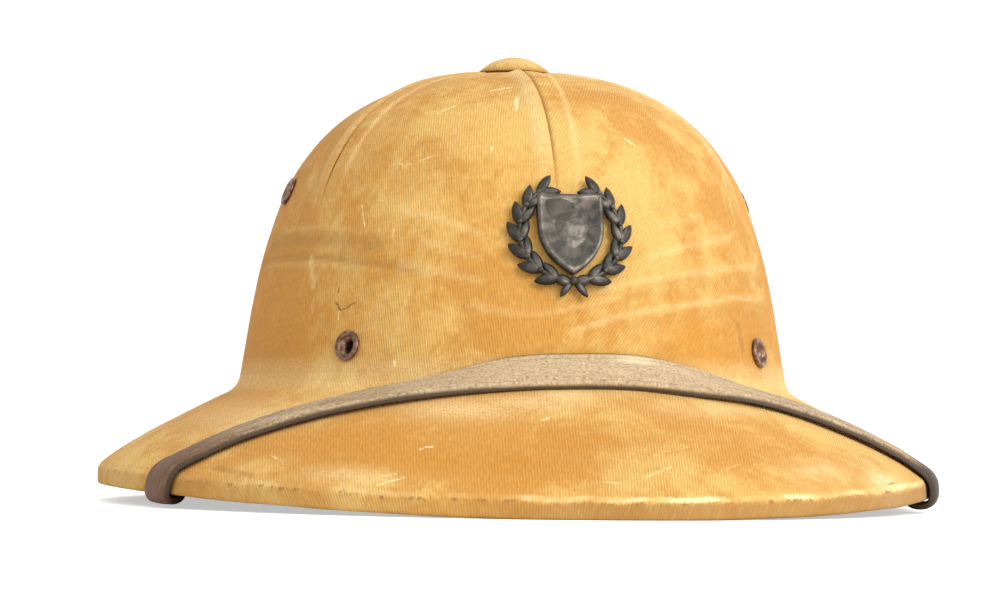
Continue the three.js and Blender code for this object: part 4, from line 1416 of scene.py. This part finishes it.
def worn_leather():
    made, tree, shader, place = finish_tree("worn_leather")
    hide = woven(tree)
    axes = put(tree, "SeparateXYZ", {0: hide})
    across, along = axes.outputs[0], axes.outputs[1]
    bloom = clouds(tree, stretched(tree, hide, (0.32, 0.05, 1)), 1.0, 4.0, 0.6, 0.4)
    crackle = clouds(tree, stretched(tree, hide, (2.0, 1.0, 1)), 1.0, 5.0, 0.78, 0.6)
    streaks = clouds(tree, stretched(tree, hide, (3.0, 0.12, 1)), 1.0, 5.0, 0.7)
    middle = step(tree, sums(tree, "ABSOLUTE", minus(tree, along, 4)), 20, 90, 1.0, 0.0)
    colour = over(tree, step(tree, bloom, 0.32, 0.62), UMBER, TAN)
    colour = over(tree, times(tree, middle, 0.8), colour, (0.50, 0.37, 0.225, 1))
    colour = over(tree, step(tree, streaks, 0.52, 0.64, 0.0, 0.6), colour, WORN)
    colour = over(tree, step(tree, crackle, 0.51, 0.60, 0.0, 0.75), colour, WORN)
    colour = over(tree, step(tree, crackle, 0.38, 0.46, 0.75, 0.0), colour, UMBER)
    colour = over(tree, step(tree, streaks, 0.32, 0.42, 0.55, 0.0), colour, UMBER)
    # A pale patch along the upper edge: wear and a painted highlight.
    highlight_patch = vectors(tree, "SUBTRACT", hide, WORN_HIGHLIGHT_PLACE)
    highlight_patch = vectors(tree, "MULTIPLY", highlight_patch, WORN_HIGHLIGHT_SHARES)
    highlight_patch = vectors(tree, "LENGTH", highlight_patch, result="Value")
    colour = over(tree, step(tree, highlight_patch, 0.2, 1.0, 0.7, 0.0), colour, (0.80, 0.66, 0.42, 1))
    left_end = step(tree, along, *LEFT_END)
    right_end = step(tree, along, *RIGHT_END)
    bare = times(tree, left_end, step(tree, streaks, 0.5, 0.62, 0.95, 0.7))
    colour = over(tree, bare, colour, (0.145, 0.066, 0.034, 1))
    colour = over(tree, right_end, colour, BURNISH)
    for at in CREASE_LINES:
        off = sums(tree, "ABSOLUTE", minus(tree, across, at))
        line = times(tree, step(tree, off, 0.06, 0.3, 0.8, 0.0), step(tree, bloom, 0.3, 0.6, 0.5, 1.0))
        colour = over(tree, line, colour, BURNISH)
    colour = over(tree, step(tree, across, 0.2, 0.6, 0.95, 0.0), colour, BURNISH)
    colour = over(tree, step(tree, across, 8.5, 8.85, 0.0, 0.85), colour, BURNISH)
    tree.links.new(colour, shader.inputs["Base Color"])
    tree.links.new(step(tree, crackle, 0.3, 0.7, 0.40, 0.66), shader.inputs["Roughness"])
    shader.inputs["Specular IOR Level"].default_value = 0.35
    pores = put(tree, "TexVoronoi", {"Vector": hide, "Scale": 3.2}).outputs["Distance"]
    grain = plus(tree, times(tree, pores, 0.35), plus(tree, crackle, streaks))
    raised(tree, shader, grain, 0.2)
    return made


dress(strap, worn_leather())


# %% Metals
def old_copper():
    made, tree, shader, place = finish_tree("old_copper")
    bloom = clouds(tree, place, 420, 4.0, 0.65, 0.4)
    colour = over(tree, step(tree, bloom, 0.35, 0.7), (0.13, 0.068, 0.042, 1), (0.36, 0.225, 0.155, 1))
    tree.links.new(colour, shader.inputs["Base Color"])
    shader.inputs["Metallic"].default_value = 0.85
    tree.links.new(step(tree, bloom, 0.3, 0.7, 0.42, 0.26), shader.inputs["Roughness"])
    raised(tree, shader, bloom, 0.03)
    return made


def cast_bronze():
    made, tree, shader, place = finish_tree("cast_bronze")
    marks = painted(tree)
    skin = clouds(tree, place, 260, 5.0, 0.65, 0.3)
    colour = over(tree, step(tree, skin, 0.35, 0.7), (0.028, 0.026, 0.023, 1), (0.062, 0.056, 0.048, 1))
    rub = times(tree, marks["Red"], step(tree, skin, 0.35, 0.65, 0.2, 0.8))
    colour = over(tree, rub, colour, (0.15, 0.135, 0.115, 1))
    tree.links.new(colour, shader.inputs["Base Color"])
    shader.inputs["Metallic"].default_value = 0.7
    tree.links.new(step(tree, skin, 0.3, 0.7, 0.5, 0.33), shader.inputs["Roughness"])
    raised(tree, shader, skin, 0.06)
    return made


copper, bronze = old_copper(), cast_bronze()
for made in (*eyelets, *rivets):
    dress(made, copper)
for made in (badge, nut):
    dress(made, bronze)
print("materials:", len(bpy.data.materials))

# %% [markdown]
# ## Sizes
# The dressed helmet's box is printed. The dressed helmet has to stay within the solids' box.

# %% Print the box and finish
low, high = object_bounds()
print("visual box:", low, high)
